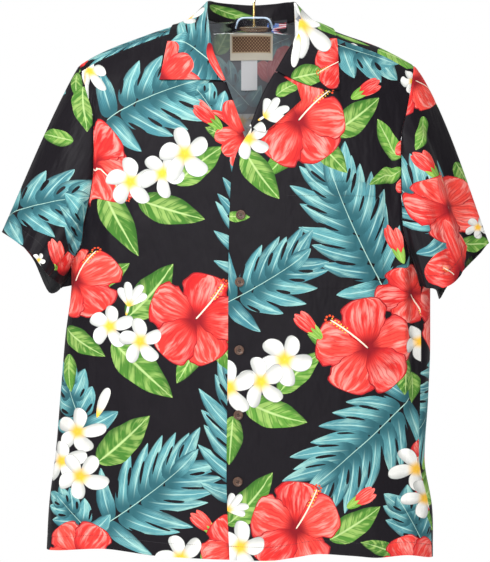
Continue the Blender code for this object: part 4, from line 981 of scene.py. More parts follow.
@dataclass(frozen=True)
class Blade:
    """One flat outline of the print, along its own curved midline.

    Attributes:
        paint: What fills it.
        root: Where its midline starts.
        turn: The midline's first direction.
        length: Of the midline.
        width: Of the blade where it is widest.
        swell: Exponents of the width near the root and near the tip.
        bend: How far the midline bows, as a share of the length.
        ruffle: Depth and count of the waves in its outline.
        tone: From 0 to 1, for the shade of the paint.
        points: Points along each side.
    """

    paint: Paint
    root: Pair
    turn: float
    length: float
    width: float
    swell: Pair = (0.7, 0.7)
    bend: float = 0.0
    ruffle: Pair = (0.0, 3.0)
    tone: float = 0.5
    points: int = 10

    def half(self, u: Array) -> Array:
        """Half the width at a share of the midline."""
        a, b = self.swell
        peak = (a / (a + b)) ** a * (b / (a + b)) ** b
        u = np.clip(u, 1e-5, 1 - 1e-5)
        return self.width / 2 * u ** a * (1 - u) ** b / peak

    def outline(self) -> Array:
        """Points round the blade on the flat cloth."""
        u = (1 - np.cos(np.linspace(0, math.pi, self.points))) / 2
        inner = u[1:-1]
        depth, waves = self.ruffle
        phase = self.tone * 6.3
        left = self.half(inner) * (1 + depth * np.sin(waves * 6.3 * inner + phase))
        right = self.half(inner) * (1 + depth * np.sin(waves * 6.3 * inner + phase + 2.1))
        x = np.concatenate([[0.0], inner, [1.0], inner[::-1]]) * self.length
        y = np.concatenate([[0.0], left, [0.0], -right[::-1]])
        y = y + self.bend * self.length * (x / self.length) ** 2
        return self._placed(np.stack([x, y], axis=-1))

    def _placed(self, local: Array) -> Array:
        """Move local points to the cloth."""
        c, s = pointing(self.turn)
        return local @ np.array([[c, s], [-s, c]]) + np.array(self.root)

    def within(self, flat: Array) -> Array:
        """Share along the midline, and share of the half width, of flat places."""
        c, s = pointing(self.turn)
        local = (flat - np.array(self.root)) @ np.array([[c, -s], [s, c]])
        u = local[:, 0] / self.length
        v = (local[:, 1] - self.bend * self.length * u ** 2) / np.maximum(self.half(u), self.width * 0.04)
        return np.stack([np.clip(u, 0, 1), np.clip(v, -1.3, 1.3)], axis=-1)


class Motif(Enum):
    """The kinds of flowers and leaves."""

    FROND = "frond"
    LEAF = "leaf"
    HIBISCUS = "hibiscus"
    BUD = "bud"
    PETAL = "petal"
    PETAL_FAN = "petal_fan"
    PLUMERIA = "plumeria"
    SIDE_PLUMERIA = "side_plumeria"
    WHITE_BUD = "white_bud"
    SLIM_PETAL = "slim_petal"
    PISTIL = "pistil"


# What lies over what, in the order of the kinds, and which are placed by their middle.
LAYER = dict(zip(Motif, (0, 1, 3, 3, 2, 2, 4, 4, 4, 4, 4)))
CENTRED = ("hibiscus", "plumeria", "side_plumeria")


@dataclass(frozen=True)
class Drawn:
    """A motif set down on the flat cloth."""

    motif: Motif
    place: Pair
    size: float
    turn: float
    seed: int
    lens: tuple[Pair, Pair] = ((1.0, 0.0), (0.0, 1.0))

    def to_cloth(self, points: Array) -> Array:
        """Points drawn round the motif's own middle, on the flat cloth."""
        return points @ np.array(self.lens).T + np.array(self.place)

    def to_motif(self, flat: Array) -> Array:
        """Flat places as the motif's own points."""
        return (flat - np.array(self.place)) @ np.linalg.inv(np.array(self.lens)).T

    def blades(self) -> list[Blade]:
        """Its outlines, from the bottom one to the top one."""
        return getattr(self, f"_{self.motif.value}")(np.random.default_rng(self.seed))

    def _at(self, distance: float, turn: float) -> Pair:
        """A place at a distance and direction from the motif's middle."""
        return tuple(distance * pointing(turn))

    def _hibiscus(self, random: Dice) -> list[Blade]:
        """Five broad ruffled petals round a long stamen with its dots."""
        blades = []
        for k in (0, 3, 1, 4, 2):
            turn = self.turn + 34 + 72 * k + random.uniform(-6, 6)
            length, width = self.size * random.uniform(0.93, 1.05), self.size * random.uniform(0.88, 0.98)
            shape = ((0.8, 0.34), random.uniform(-0.1, 0.1), (0.06, random.uniform(3.0, 4.6)),
                     random.uniform(0, 1), 21)
            root = self._at(0.01 * self.size, turn)
            blades.append(Blade(Paint.SHADOW, root, turn, length * 1.015, width * 1.06, *shape))
            blades.append(Blade(Paint.PETAL, root, turn, length, width, *shape))
        return blades + self._pistil(random)

    def _pistil(self, random: Dice) -> list[Blade]:
        """A long stamen with its dots."""
        bow, length = random.choice([-1, 1]) * random.uniform(0.06, 0.14), self.size * 0.98
        blades = [Blade(Paint.STAMEN, (0.0, 0.0), self.turn, length, self.size * 0.034, (0.06, 0.1),
                        bow, tone=0.5, points=9)]
        along, aside = pointing(self.turn), pointing(self.turn + 90)
        for k in range(12):
            u = 0.58 + 0.4 * k / 11
            side = (-1) ** k * self.size * random.uniform(0.028, 0.055)
            spot = along * u * length + aside * (bow * length * u * u + side)
            blades.append(self._dot(spot, self.size * 0.016, 0.1))
        tip = along * length + aside * bow * length
        for k in range(5):
            turn = self.turn + 90 * (k - 2) / 2.0
            spot = tip + self.size * 0.085 * pointing(turn)
            blades.append(self._dot(spot, self.size * 0.026, 0.9))
        return blades

    @staticmethod
    def _dot(spot: Array, radius: float, tone: float) -> Blade:
        """A small round spot."""
        return Blade(Paint.POLLEN, (float(spot[0]) - radius, float(spot[1])), 0.0, 2 * radius, 2 * radius,
                     (0.5, 0.5), tone=tone, points=5)

    def _plumeria(self, random: Dice) -> list[Blade]:
        """Five rounded petals set like a pinwheel."""
        blades = []
        for k in range(5):
            turn = self.turn + 72 * k - 8 + random.uniform(-5, 5)
            length, width = self.size * random.uniform(0.92, 1.1), self.size * random.uniform(0.56, 0.68)
            shape = ((0.78, 0.42), 0.16, (0.03, 1.5), random.uniform(0, 1), 15)
            root = self._at(0.01 * self.size, turn)
            blades.append(Blade(Paint.SHADE, root, turn, length * 1.01, width * 1.07, *shape))
            blades.append(Blade(Paint.PLUMERIA, root, turn, length, width, *shape))
        blades.append(self._dot(np.zeros(2), 0.035 * self.size, 0.0))
        return blades

    def _side_plumeria(self, random: Dice) -> list[Blade]:
        """A flower seen from its side, petals fanned above a short stem."""
        base = self._at(-0.55 * self.size, self.turn)
        blades = [Blade(Paint.PLUMERIA, self._at(-1.1 * self.size, self.turn), self.turn, self.size * 0.75,
                        self.size * 0.16, (0.25, 0.3), tone=0.9, points=7)]
        for fan, reach in ((-34, 1.35), (32, 1.3), (-12, 1.6), (9, 1.55)):
            shape = ((1.0, 0.42), 0.12 * (1 if fan > 0 else -1), (0.03, 1.5), random.uniform(0, 1), 13)
            size, width = self.size * reach, self.size * 0.52
            blades.append(Blade(Paint.SHADE, base, self.turn + fan, size * 1.01, width * 1.09, *shape))
            blades.append(Blade(Paint.PLUMERIA, base, self.turn + fan, size, width, *shape))
        return blades

    def _white_bud(self, random: Dice) -> list[Blade]:
        """One slim white flower, still furled."""
        return [Blade(Paint.PLUMERIA, (0.0, 0.0), self.turn, self.size, self.size * 0.3, (0.8, 0.45),
                      random.uniform(-0.05, 0.05), (0.02, 1.5), 0.4, 13)]

    def _leaf(self, random: Dice) -> list[Blade]:
        """One pointed leaf."""
        return [Blade(Paint.LEAF, (0.0, 0.0), self.turn, self.size, self.size * random.uniform(0.4, 0.5),
                      (0.6, 0.92), random.uniform(-0.2, 0.2), (0.045, random.uniform(1.6, 2.8)),
                      random.uniform(0, 1), 19)]

    def _bud(self, random: Dice) -> list[Blade]:
        """A closed flower in its green cup."""
        blades = []
        for fan in (-13, 13, 0):
            blades.append(Blade(Paint.PETAL, self._at(0.16 * self.size, self.turn), self.turn + fan,
                                self.size * (0.86 - 0.004 * abs(fan)), self.size * 0.25, (0.75, 0.6),
                                0.05 * (-1 if fan > 0 else 1), (0.03, 2.0), random.uniform(0, 1), 11))
        for fan in (-20, 20, 0):
            blades.append(Blade(Paint.BUD, (0.0, 0.0), self.turn + fan, self.size * 0.44, self.size * 0.13,
                                (0.5, 0.8), tone=random.uniform(0, 1), points=7))
        return blades

    def _petal(self, random: Dice) -> list[Blade]:
        """One loose broad petal."""
        return [Blade(Paint.PETAL, (0.0, 0.0), self.turn, self.size, self.size * 0.72, (0.6, 0.4),
                      random.uniform(-0.1, 0.1), (0.05, 2.6), random.uniform(0, 1), 16)]

    def _slim_petal(self, random: Dice) -> list[Blade]:
        """One loose narrow petal."""
        return [Blade(Paint.PETAL, (0.0, 0.0), self.turn, self.size, self.size * 0.3, (0.6, 0.55),
                      random.uniform(-0.12, 0.12), (0.03, 1.6), random.uniform(0, 1), 14)]

    def _petal_fan(self, random: Dice) -> list[Blade]:
        """Three petals of a flower that is cut off at a seam."""
        return [Blade(Paint.PETAL, (0.0, 0.0), self.turn + fan, self.size * random.uniform(0.9, 1.05),
                      self.size * 0.6, (0.6, 0.4), random.uniform(-0.1, 0.1), (0.05, 2.6),
                      random.uniform(0, 1), 16) for fan in (-42, 40, 0)]

    def _frond(self, random: Dice) -> list[Blade]:
        """A broad leaf cut into long pointed lobes, with a pale rib and dark slits between them."""
        bow = random.uniform(-0.1, 0.1)
        pairs = int(np.clip(round(self.size / 0.022), 4, 8))
        length = self.size
        along, aside = pointing(self.turn), pointing(self.turn + 90)

        def spine(u: float) -> Array:
            return along * u * length + aside * bow * length * u * u

        def heading(u: float) -> float:
            return self.turn + math.degrees(math.atan(2 * bow * u))

        lobes, slits = [], []
        gap = 0.82 / (pairs - 1)
        full = min(0.6 * length, 0.088)
        for k in range(pairs):
            for hand in (-1, 1):
                u = float(np.clip(0.02 + gap * (k + 0.3 * (hand > 0)) * random.uniform(0.97, 1.03), 0, 0.9))
                spread = (82 if k == 0 else 66) - 36 * u + random.uniform(-4, 4)
                reach = full * math.sin(math.pi * (0.24 + 0.62 * u)) ** 0.5 * random.uniform(0.86, 1.08)
                bend = -hand * random.uniform(0.08, 0.22)
                width = length * gap * 1.2
                lobes.append(Blade(Paint.FROND, tuple(spine(u)), heading(u) + hand * spread, reach,
                                   width, (0.34, 0.78), bend, (0.06, random.uniform(1.2, 2.0)),
                                   random.uniform(0, 1), 14))
                if k:
                    start = spine(u - gap * 0.44)
                    turn = heading(u) + hand * (spread + 2)
                    away = pointing(turn)
                    slits.append(Blade(Paint.GROUND, tuple(start + away * reach * random.uniform(0.26, 0.38)),
                                       turn, reach * random.uniform(0.28, 0.44),
                                       length * gap * random.uniform(0.14, 0.26), (0.6, 0.4),
                                       bend * 0.6, tone=0.5, points=8))
        lobes.append(Blade(Paint.FROND, tuple(spine(0.8)), heading(0.9), length * 0.36, length * gap * 1.1,
                           (0.4, 0.8), bow, tone=0.5, points=12))
        rib = Blade(Paint.RIB, (0.0, 0.0), self.turn, length, length * 0.0045 + 0.0005, (0.03, 0.35),
                    bow, tone=0.5, points=13)
        return lobes + slits + [rib]


# Where each flower and leaf lies, in centimetres as seen from the front: across from the hook,
# up from the hem line, its size and its turn.
CHART: dict[str, list[tuple[str, float, float, float, float]]] = {
    "front_right": [
        ("frond", -21.2, 62.8, 14.2, 29), ("hibiscus", -23.4, 56.5, 5.7, -38),
        ("plumeria", -17.8, 54.2, 3.4, 90), ("plumeria", -13.2, 55.4, 3.2, 60),
        ("plumeria", -10.0, 58.2, 3.8, 100), ("leaf", -11.2, 53.8, 8.6, 47),
        ("leaf", -16.6, 51.6, 9.8, -21), ("leaf", -21.6, 52.8, 9.8, -70),
        ("bud", -4.6, 61.8, 5.2, 138), ("leaf", -3.6, 60.4, 3.8, 152), ("frond", 1.6, 39.6, 15.0, 96),
        ("hibiscus", -25.6, 39.8, 5.2, 66), ("leaf", -23.2, 38.8, 6.2, 38),
        ("plumeria", -20.8, 33.4, 3.1, 85), ("plumeria", -16.4, 31.2, 3.2, 20),
        ("side_plumeria", -17.8, 37.4, 2.3, 76), ("leaf", -18.2, 34.6, 10.0, 41),
        ("hibiscus", -8.4, 34.4, 6.6, 46), ("leaf", -7.4, 32.0, 7.8, -117),
        ("leaf", -6.2, 32.6, 7.2, -50), ("leaf", -20.2, 31.2, 11.6, -46),
        ("leaf", -27.4, 33.2, 7.0, -38), ("leaf", -26.4, 29.4, 5.4, -96),
        ("frond", -24.2, 18.4, 8.6, 112), ("white_bud", -22.6, 20.2, 4.6, 71),
        ("plumeria", -25.4, 18.2, 3.2, 80), ("plumeria", -27.6, 14.0, 3.0, 15),
        ("plumeria", -25.0, 11.8, 3.3, 50), ("leaf", -22.4, 13.8, 9.8, 38),
        ("frond", -21.3, 4.9, 14.6, 32), ("frond", -23.4, 3.4, 6.8, 128),
        ("hibiscus", -25.2, 0.3, 5.2, -130), ("plumeria", -10.6, 0.0, 3.4, 110),
        ("bud", -5.2, 3.2, 5.0, 138), ("leaf", -4.2, 2.4, 3.4, 152), ("hibiscus", -2.6, 1.4, 4.8, 92),
        ("leaf", -7.6, -0.2, 2.6, 55), ("frond", -1.2, 7.6, 19.0, 93),
        ("petal_fan", -1.2, 60.6, 4.4, 215), ("plumeria", -23.6, 69.8, 2.6, 30)],
    "front_left": [
        ("frond", 10.2, 74.6, 9.4, -20), ("hibiscus", 6.4, 63.0, 6.4, 52),
        ("bud", 14.0, 66.2, 4.8, 30), ("leaf", 11.2, 61.2, 8.4, 28), ("leaf", 5.8, 60.2, 6.8, -118),
        ("leaf", 8.2, 61.0, 7.6, -46), ("plumeria", -0.8, 60.4, 2.9, 35),
        ("leaf", -1.4, 58.8, 8.6, -62), ("leaf", 21.1, 57.6, 6.4, 132), ("leaf", 21.4, 55.8, 5.2, 196),
        ("petal", 23.6, 58.9, 3.3, 178), ("petal", 23.4, 53.4, 3.0, 176),
        ("plumeria", 22.8, 68.6, 1.7, 110),
        ("frond", 18.8, 38.0, 19.4, 119), ("frond", -3.9, 36.8, 12.4, 26),
        ("hibiscus", 22.8, 38.0, 4.2, -60), ("hibiscus", 16.4, 30.2, 6.8, 136), ("bud", 21.2, 42.6, 5.4, 107),
        ("bud", 9.8, 31.6, 5.2, 136),
        ("leaf", 11.0, 30.4, 3.8, 150), ("plumeria", 4.4, 28.6, 3.8, 60),
        ("plumeria", 1.0, 25.4, 3.6, 100), ("plumeria", -3.6, 24.6, 3.8, 20),
        ("leaf", 3.6, 23.8, 8.6, 52), ("leaf", -1.2, 22.6, 9.2, -30), ("leaf", -3.0, 20.4, 7.0, -96),
        ("frond", 22.4, 23.2, 17.6, 225), ("leaf", 21.0, 29.0, 5.4, -76),
        ("leaf", 22.8, 26.8, 4.4, -80), ("plumeria", 24.0, 31.2, 2.8, 200),
        ("plumeria", 23.4, 12.8, 3.2, 120), ("plumeria", 24.6, 8.6, 2.8, 40),
        ("hibiscus", 25.8, 14.2, 3.6, 170), ("hibiscus", 26.4, 10.4, 3.8, 200),
        ("leaf", 25.4, 8.4, 3.8, -80), ("frond", 24.6, 1.2, 7.4, 116), ("hibiscus", 6.0, 4.2, 6.6, 54),
        ("bud", 13.4, 7.2, 4.8, 33), ("leaf", 11.0, 2.6, 8.6, 30), ("leaf", -3.8, 4.8, 9.8, 40),
        ("side_plumeria", -3.0, 7.4, 2.0, 30), ("plumeria", -2.0, 1.6, 3.6, 80),
        ("leaf", 20.4, 0.6, 5.2, 155), ("hibiscus", 22.9, -1.2, 4.4, -130), ("leaf", 7.4, 1.8, 2.6, -60),
        ("leaf", -4.0, 49.2, 3.4, 0)],
    "collar": [
        ("frond", -3.2, 66.2, 12.4, 124),
        ("petal_fan", -13.4, 68.8, 5.8, 36), ("plumeria", -9.4, 78.6, 1.9, 60),
        ("slim_petal", -6.5, 73.9, 5.8, -70), ("leaf", -5.8, 78.7, 6.0, -12),
        ("plumeria", 7.2, 76.4, 3.0, 118), ("white_bud", 6.4, 75.4, 4.2, -98),
        ("hibiscus", 12.6, 71.6, 3.6, 200),
        ("leaf", 5.4, 69.0, 6.0, 20), ("leaf", 7.0, 78.6, 6.4, -25)],
    "lapel_right": [
        ("frond", -4.0, 62.0, 7.2, 125), ("petal_fan", -1.2, 60.6, 6.4, 112),
        ("bud", -4.6, 61.8, 5.2, 138)],
    "lapel_left": [
        ("leaf", 3.2, 66.6, 4.8, 38), ("side_plumeria", 2.3, 64.2, 2.2, 36),
        ("plumeria", -0.6, 60.6, 2.9, 45)],
    "back_yoke": [
        ("frond", -11.0, 75.6, 11.0, 197), ("leaf", 11.0, 74.8, 5.8, -20),
        ("leaf", 17.8, 73.2, 7.2, -25), ("petal", -25.4, 70.6, 2.4, 60)],
    "sleeve_right": [
        ("leaf", -25.4, 69.9, 3.6, -100), ("leaf", -24.5, 67.8, 6.3, -92),
        ("leaf", -26.2, 60.2, 4.8, 176), ("frond", -36.0, 49.8, 10.8, 10),
        ("bud", -28.0, 41.0, 4.8, 102), ("petal", -27.4, 40.6, 3.8, 75),
        ("frond", -24.4, 41.4, 8.0, 88), ("plumeria", -31.0, 42.9, 1.0, 60)],
    "sleeve_left": [
        ("hibiscus", 23.1, 68.6, 4.3, -15), ("leaf", 24.4, 63.4, 4.8, -96),
        ("leaf", 26.0, 67.5, 3.6, -62), ("frond", 29.0, 47.2, 15.0, 145),
        ("bud", 26.2, 54.7, 4.9, 127), ("slim_petal", 27.6, 50.4, 4.8, 105),
        ("hibiscus", 27.7, 50.4, 4.8, 92), ("slim_petal", 29.9, 41.2, 8.4, 107),
        ("petal", 29.8, 42.0, 5.0, 97), ("petal", 29.9, 41.0, 6.6, 172),
        ("pistil", 29.6, 41.1, 4.6, 176), ("leaf", 30.0, 45.4, 4.8, -2),
        ("plumeria", 32.2, 47.6, 1.6, 60), ("leaf", 29.0, 57.0, 4.6, -62)],
    "sleeve_right_inside": [
        ("petal_fan", -29.6, 39.4, 4.4, 95)],
    "yoke_inside": [
        ("frond", -0.7, 65.2, 6.6, 133), ("petal", 3.2, 70.6, 3.6, 60), ("petal", 4.4, 72.4, 3.4, -20),
        ("petal_fan", 2.6, 68.4, 3.8, 80), ("leaf", -5.4, 72.6, 5.6, 60),
        ("frond", 5.0, 74.8, 4.4, 200)],
    "back_inside": [
        ("plumeria", -1.8, 62.9, 2.2, 60), ("leaf", -0.4, 61.0, 3.4, -20)],
}
REPEAT_ACROSS, REPEAT_UP = 0.56, 0.576
REPEAT_TOP = 65.6            # rows above this height aren't repeated
# On the back of the collar: centimetres from the middle, in from the fall's edge, size and turn.
COLLAR_BACK = [
    ("leaf", -7.4, 2.2, 4.2, 205), ("leaf", 2.4, 2.6, 4.8, 15), ("frond", 5.2, 1.6, 6.0, 12),
    ("hibiscus", -3.4, 1.7, 3.2, -60), ("plumeria", 1.2, 2.3, 2.0, 40), ("plumeria", 3.7, 3.0, 1.7, 90)]


# --- setting the print on the panels
class Printer:
    """Sets the print's motifs down on the panels' flat cloth."""

    def __init__(self, panels: dict[str, Lattice]) -> None:
        """Keep the panels and start the motifs' numbering."""
        self.panels = panels
        self.seed = 11

    @staticmethod
    def _camera_plane(grid: Array) -> Array:
        """Where points show on the hook's plane, across and up, in metres."""
        nearer = (CAMERA_DISTANCE + grid[..., 1]) / CAMERA_DISTANCE
        return np.stack([CAMERA_X + (grid[..., 0] - CAMERA_X) / nearer,
                         CAMERA_HEIGHT + (grid[..., 2] - CAMERA_HEIGHT) / nearer], axis=-1)

    def _drawn(self, name: str, place: Array, size: float, turn: float, **more: object) -> Drawn:
        """One motif with the next seed, from its size in centimetres."""
        self.seed += 1
        return Drawn(Motif(name), (float(place[0]), float(place[1])), size / 100, turn, self.seed, **more)

    def seen(self, panel: str, rows: Iterable[tuple], inside: bool = False) -> list[Drawn]:
        """Motifs given by where they show from the front.

        Args:
            panel: The panel they lie on.
            rows: Rows of the chart.
            inside: Whether they show through the cloth, on its wrong side.

        Returns:
            The motifs on the flat cloth.
        """
        lattice = self.panels[panel]
        plane = self._camera_plane(lattice.grid)
        facing = np.sum(lattice.normals * unit(CAMERA - lattice.grid), axis=-1) * (-1 if inside else 1)
        far = np.where(facing > 0.12, 0.0, 0.5)
        drawn = []
        for name, across, up, size, turn in rows:
            half = pointing(turn) * size / 100 * (0.0 if name in CENTRED else 0.45)
            target = np.array([across, up]) / 100 + half
            miss = np.linalg.norm(plane - target, axis=-1) + far
            reach = miss.min() + max(0.006, 0.0045 * size)
            weight = np.exp(-(miss / reach) ** 2) * (far == 0)
            weight = weight / weight.sum()
            seen_at = np.sum(plane * weight[..., None], axis=(0, 1))
            cloth_at = np.sum(lattice.flat * weight[..., None], axis=(0, 1))
            a, b = plane - seen_at, lattice.flat - cloth_at
            moment = np.einsum("ij,ijk,ijl->kl", weight, a, a)
            cross = np.einsum("ij,ijk,ijl->kl", weight, b, a)
            slope = cross @ np.linalg.pinv(moment, rcond=0.02)
            left, sizes, right = np.linalg.svd(slope)
            lens = left @ np.diag(np.clip(sizes, 0.55, 2.3)) @ right
            place = cloth_at + lens @ (target - seen_at - half)
            drawn.append(self._drawn(name, place, size, turn, lens=tuple(map(tuple, lens.tolist()))))
        return drawn

    def laid(self, panel: str, rows: Iterable[tuple]) -> list[Drawn]:
        """Motifs given in centimetres from the middle and the last row of the flat cloth."""
        flat = self.panels[panel].flat
        middle, edge = (flat[..., 0].min() + flat[..., 0].max()) / 2, flat[-1, :, 1].mean()
        inward = math.copysign(1.0, flat[0, :, 1].mean() - edge)
        drawn = []
        for name, across, inside, size, turn in rows:
            place = np.array([middle + across / 100, edge + inward * inside / 100])
            drawn.append(self._drawn(name, place, size, turn))
        return drawn

    def tiled(self, panel: str, shift: Pair, hidden: bool, clearance: float = 0.0085,
              bare: float = 0.0) -> list[Drawn]:
        """The fronts' motifs repeated over a panel.

        Args:
            panel: The panel to cover.
            shift: How far the repeat is moved across and up.
            hidden: Whether to leave out the part that shows from the front.
            clearance: How far motifs stay from that part, for each centimetre of their size.
            bare: Half the width of a middle stretch with none.

        Returns:
            The motifs on the flat cloth.
        """
        lattice = self.panels[panel]
        low = lattice.flat.reshape(-1, 2).min(axis=0) - 0.06
        high = lattice.flat.reshape(-1, 2).max(axis=0) + 0.06
        shown = np.sum(lattice.normals * unit(CAMERA - lattice.grid), axis=-1) > 0.05
        shown |= lattice.grid[..., 2] < LOW_LOBE
        nodes = lattice.flat[shown] if hidden else np.empty((0, 2))
        drawn = []
        for name, across, up, size, turn in CHART["front_right"] + CHART["front_left"]:
            first = np.array([across / 100, up / 100]) + np.array(shift)
            if up > REPEAT_TOP:
                continue
            for m in range(-3, 4):
                for n in range(-3, 4):
                    place = first + np.array([m * REPEAT_ACROSS, n * REPEAT_UP])
                    if not ((place > low).all() and (place < high).all()):
                        continue
                    if len(nodes) and np.linalg.norm(nodes - place, axis=1).min() < clearance * size:
                        continue
                    if abs(place[0]) < bare:
                        continue
                    drawn.append(self._drawn(name, place, size, turn))
        return drawn

    def all_panels(self) -> dict[str, list[Drawn]]:
        """Every panel's motifs, from the bottom layer to the top one."""
        prints = {name: self.seen(name, rows) for name, rows in CHART.items() if name in self.panels}
        prints["pocket"] = prints["front_left"]
        prints["back_panel"] = self.tiled("back_panel", (0.1, 0.06), False)
        prints["back_panel"] += self.seen("back_panel", CHART["back_inside"], inside=True)
        prints["back_yoke"] += self.seen("back_yoke", CHART["yoke_inside"], inside=True)
        prints["back_yoke"] += self.tiled("back_yoke", (0.17, -0.02), True, bare=0.095)
        for name, shift in (("sleeve_right", (0.05, 0.12)), ("sleeve_left", (-0.12, 0.31))):
            prints[name] += self.tiled(name, shift, True)
        prints["sleeve_right"] += self.seen("sleeve_right", CHART["sleeve_right_inside"], inside=True)
        prints["collar"] += self.tiled("collar", (-0.22, -0.375), True, clearance=0.0078)
        prints["collar"] += self.laid("collar", COLLAR_BACK)
        return {name: sorted(drawn, key=lambda one: LAYER[one.motif]) for name, drawn in prints.items()}


@dataclass
class PrintedCloth:
    """The mesh of one panel: its form, its print cut into it, and its two sides."""

    lattice: Lattice
    drawn: list[Drawn]

    def triangles(self) -> None:
        """Cut the flat panel along the outlines of the print."""
        lattice = self.lattice
        rows, columns = lattice.grid.shape[:2]
        index = np.arange(rows * columns).reshape(rows, columns)
        border = border_of(index)
        flat = lattice.flat.reshape(-1, 2)
        low, high = flat.min(axis=0), flat.max(axis=0)
        self.blades: list[tuple[Drawn, Blade]] = []
        outlines = []
        for one in self.drawn:
            for blade in one.blades():
                outline = one.to_cloth(blade.outline())
                if (outline.max(axis=0) > low).all() and (outline.min(axis=0) < high).all():
                    outlines.append(outline if runs_left(outline) else outline[::-1])
                    self.blades.append((one, blade))
        points, faces = [flat], [(border if runs_left(flat[border]) else border[::-1]).tolist()]
        count = len(flat)
        for outline in outlines:
            faces.append(list(range(count, count + len(outline))))
            points.append(outline)
            count += len(outline)
        flat_points = np.concatenate(points)
        result = delaunay_2d_cdt([Vector(p) for p in flat_points.tolist()], [], faces, 1, 1e-7, True)
        vertices, _, cells, origins, _, covers = result
        self.flat = np.array([v[:] for v in vertices])
        chosen, paints = [], []
        for cell, cover in zip(cells, covers):
            if 0 in cover:
                chosen.append(cell)
                paints.append(max(cover))
        self.cells, self.owner = np.array(chosen), np.array(paints)
        used = np.unique(self.cells)
        renumber = np.full(len(self.flat), -1)
        renumber[used] = np.arange(len(used))
        self.cells, self.flat = renumber[self.cells], self.flat[used]
        place = np.full((len(used), 2), -1.0)
        for k, vertex in enumerate(used):
            own = [o for o in origins[vertex] if o < rows * columns]
            if own:
                place[k] = divmod(own[0], columns)
        free = place[:, 0] < 0
        if free.any():
            place[free] = lattice.locate(lattice.flat, self.flat[free])
        self.place = place

    def build(self, name: str, finishes: list[Material]) -> bpy.types.Object:
        """Make the panel's object.

        Args:
            name: Of the object.
            finishes: Materials of the right side, then of the wrong side.

        Returns:
            The object, closed all round.
        """
        self.triangles()
        lattice, cells = self.lattice, self.cells
        outer = lattice.read(lattice.grid, self.place)
        normals = unit(lattice.read(lattice.normals, self.place))
        thick = lattice.read(lattice.thickness, self.place, soft=False)
        a, b, c = outer[cells[:, 0]], outer[cells[:, 1]], outer[cells[:, 2]]
        facing = np.sum(np.cross(b - a, c - a) * normals[cells[:, 0]])
        if facing < 0:
            cells = cells[:, ::-1]
        inner = outer - normals * thick
        count = len(outer)
        edges = edges_of(cells)
        keys = edges[:, 0].astype(np.int64) * count + edges[:, 1]
        back = edges[:, 1].astype(np.int64) * count + edges[:, 0]
        rim = edges[~np.isin(keys, back)]
        wall = np.stack([rim[:, 1], rim[:, 0], rim[:, 0] + count, rim[:, 1] + count], axis=-1)
        corners = np.concatenate([cells.ravel(), (cells[:, ::-1] + count).ravel(), wall.ravel()])
        sizes = np.concatenate([np.full(2 * len(cells), 3), np.full(len(wall), 4)])
        mesh = bpy.data.meshes.new(name)
        points = world(np.concatenate([outer, inner]))
        mesh.vertices.add(len(points))
        mesh.vertices.foreach_set("co", points.ravel())
        mesh.loops.add(len(corners))
        mesh.loops.foreach_set("vertex_index", corners.astype(np.int32))
        mesh.polygons.add(len(sizes))
        mesh.polygons.foreach_set("loop_start", np.concatenate([[0], np.cumsum(sizes)[:-1]]).astype(np.int32))
        paint = np.array([int(Paint.GROUND)] + [int(blade.paint) for _, blade in self.blades])[self.owner]
        index = np.concatenate([paint, paint + len(Paint), np.zeros(len(wall), int)])
        mesh.polygons.foreach_set("material_index", index.astype(np.int32))
        for finish in finishes:
            mesh.materials.append(finish)
        self._maps(mesh, cells, wall, count)
        mesh.update()
        mesh.validate(clean_customdata=False)
        mesh.shade_smooth()
        mesh.set_sharp_from_angle(angle=math.radians(55))
        return link(name, mesh)

    def _maps(self, mesh: bpy.types.Mesh, cells: Array, wall: Array, count: int) -> None:
        """Write the corner maps that the finishes read."""
        within = np.zeros((len(cells), 3, 2))
        shade = np.full((len(cells), 3, 2), 0.5)
        order = np.argsort(self.owner, kind="stable")
        starts = np.searchsorted(self.owner[order], np.arange(len(self.blades) + 2))
        for k, (one, blade) in enumerate(self.blades, start=1):
            mine = order[starts[k]:starts[k + 1]]
            if len(mine):
                places = one.to_motif(self.flat[cells[mine].ravel()])
                within[mine] = blade.within(places).reshape(-1, 3, 2)
                shade[mine] = (blade.tone, (k * 0.618) % 1.0)
        within[..., 1] = 0.5 + within[..., 1] / 2.6
        flat = self.flat[cells]
        edge = self.flat[wall % count]
        low, high = self.flat.min(axis=0), self.flat.max(axis=0)
        square = (flat - low) / (high - low) * 0.98 + 0.01
        border = (edge - low) / (high - low) * 0.98 + 0.01
        halves = np.array([0.5, 1.0])
        maps = {
            "OFBake": (square * halves, square[:, ::-1] * halves + (0.5, 0.0), border * halves),
            "Motif": (within, within[:, ::-1], np.zeros((*wall.shape, 2))),
            "Shade": (shade, shade[:, ::-1], np.full((*wall.shape, 2), 0.5)),
            "Cloth": (flat, flat[:, ::-1], edge)}
        for name, parts in maps.items():
            layer = mesh.uv_layers.new(name=name, do_init=False)
            values = np.concatenate([part.reshape(-1, 2) for part in parts])
            layer.uv.foreach_set("vector", values.astype(np.float32).ravel())


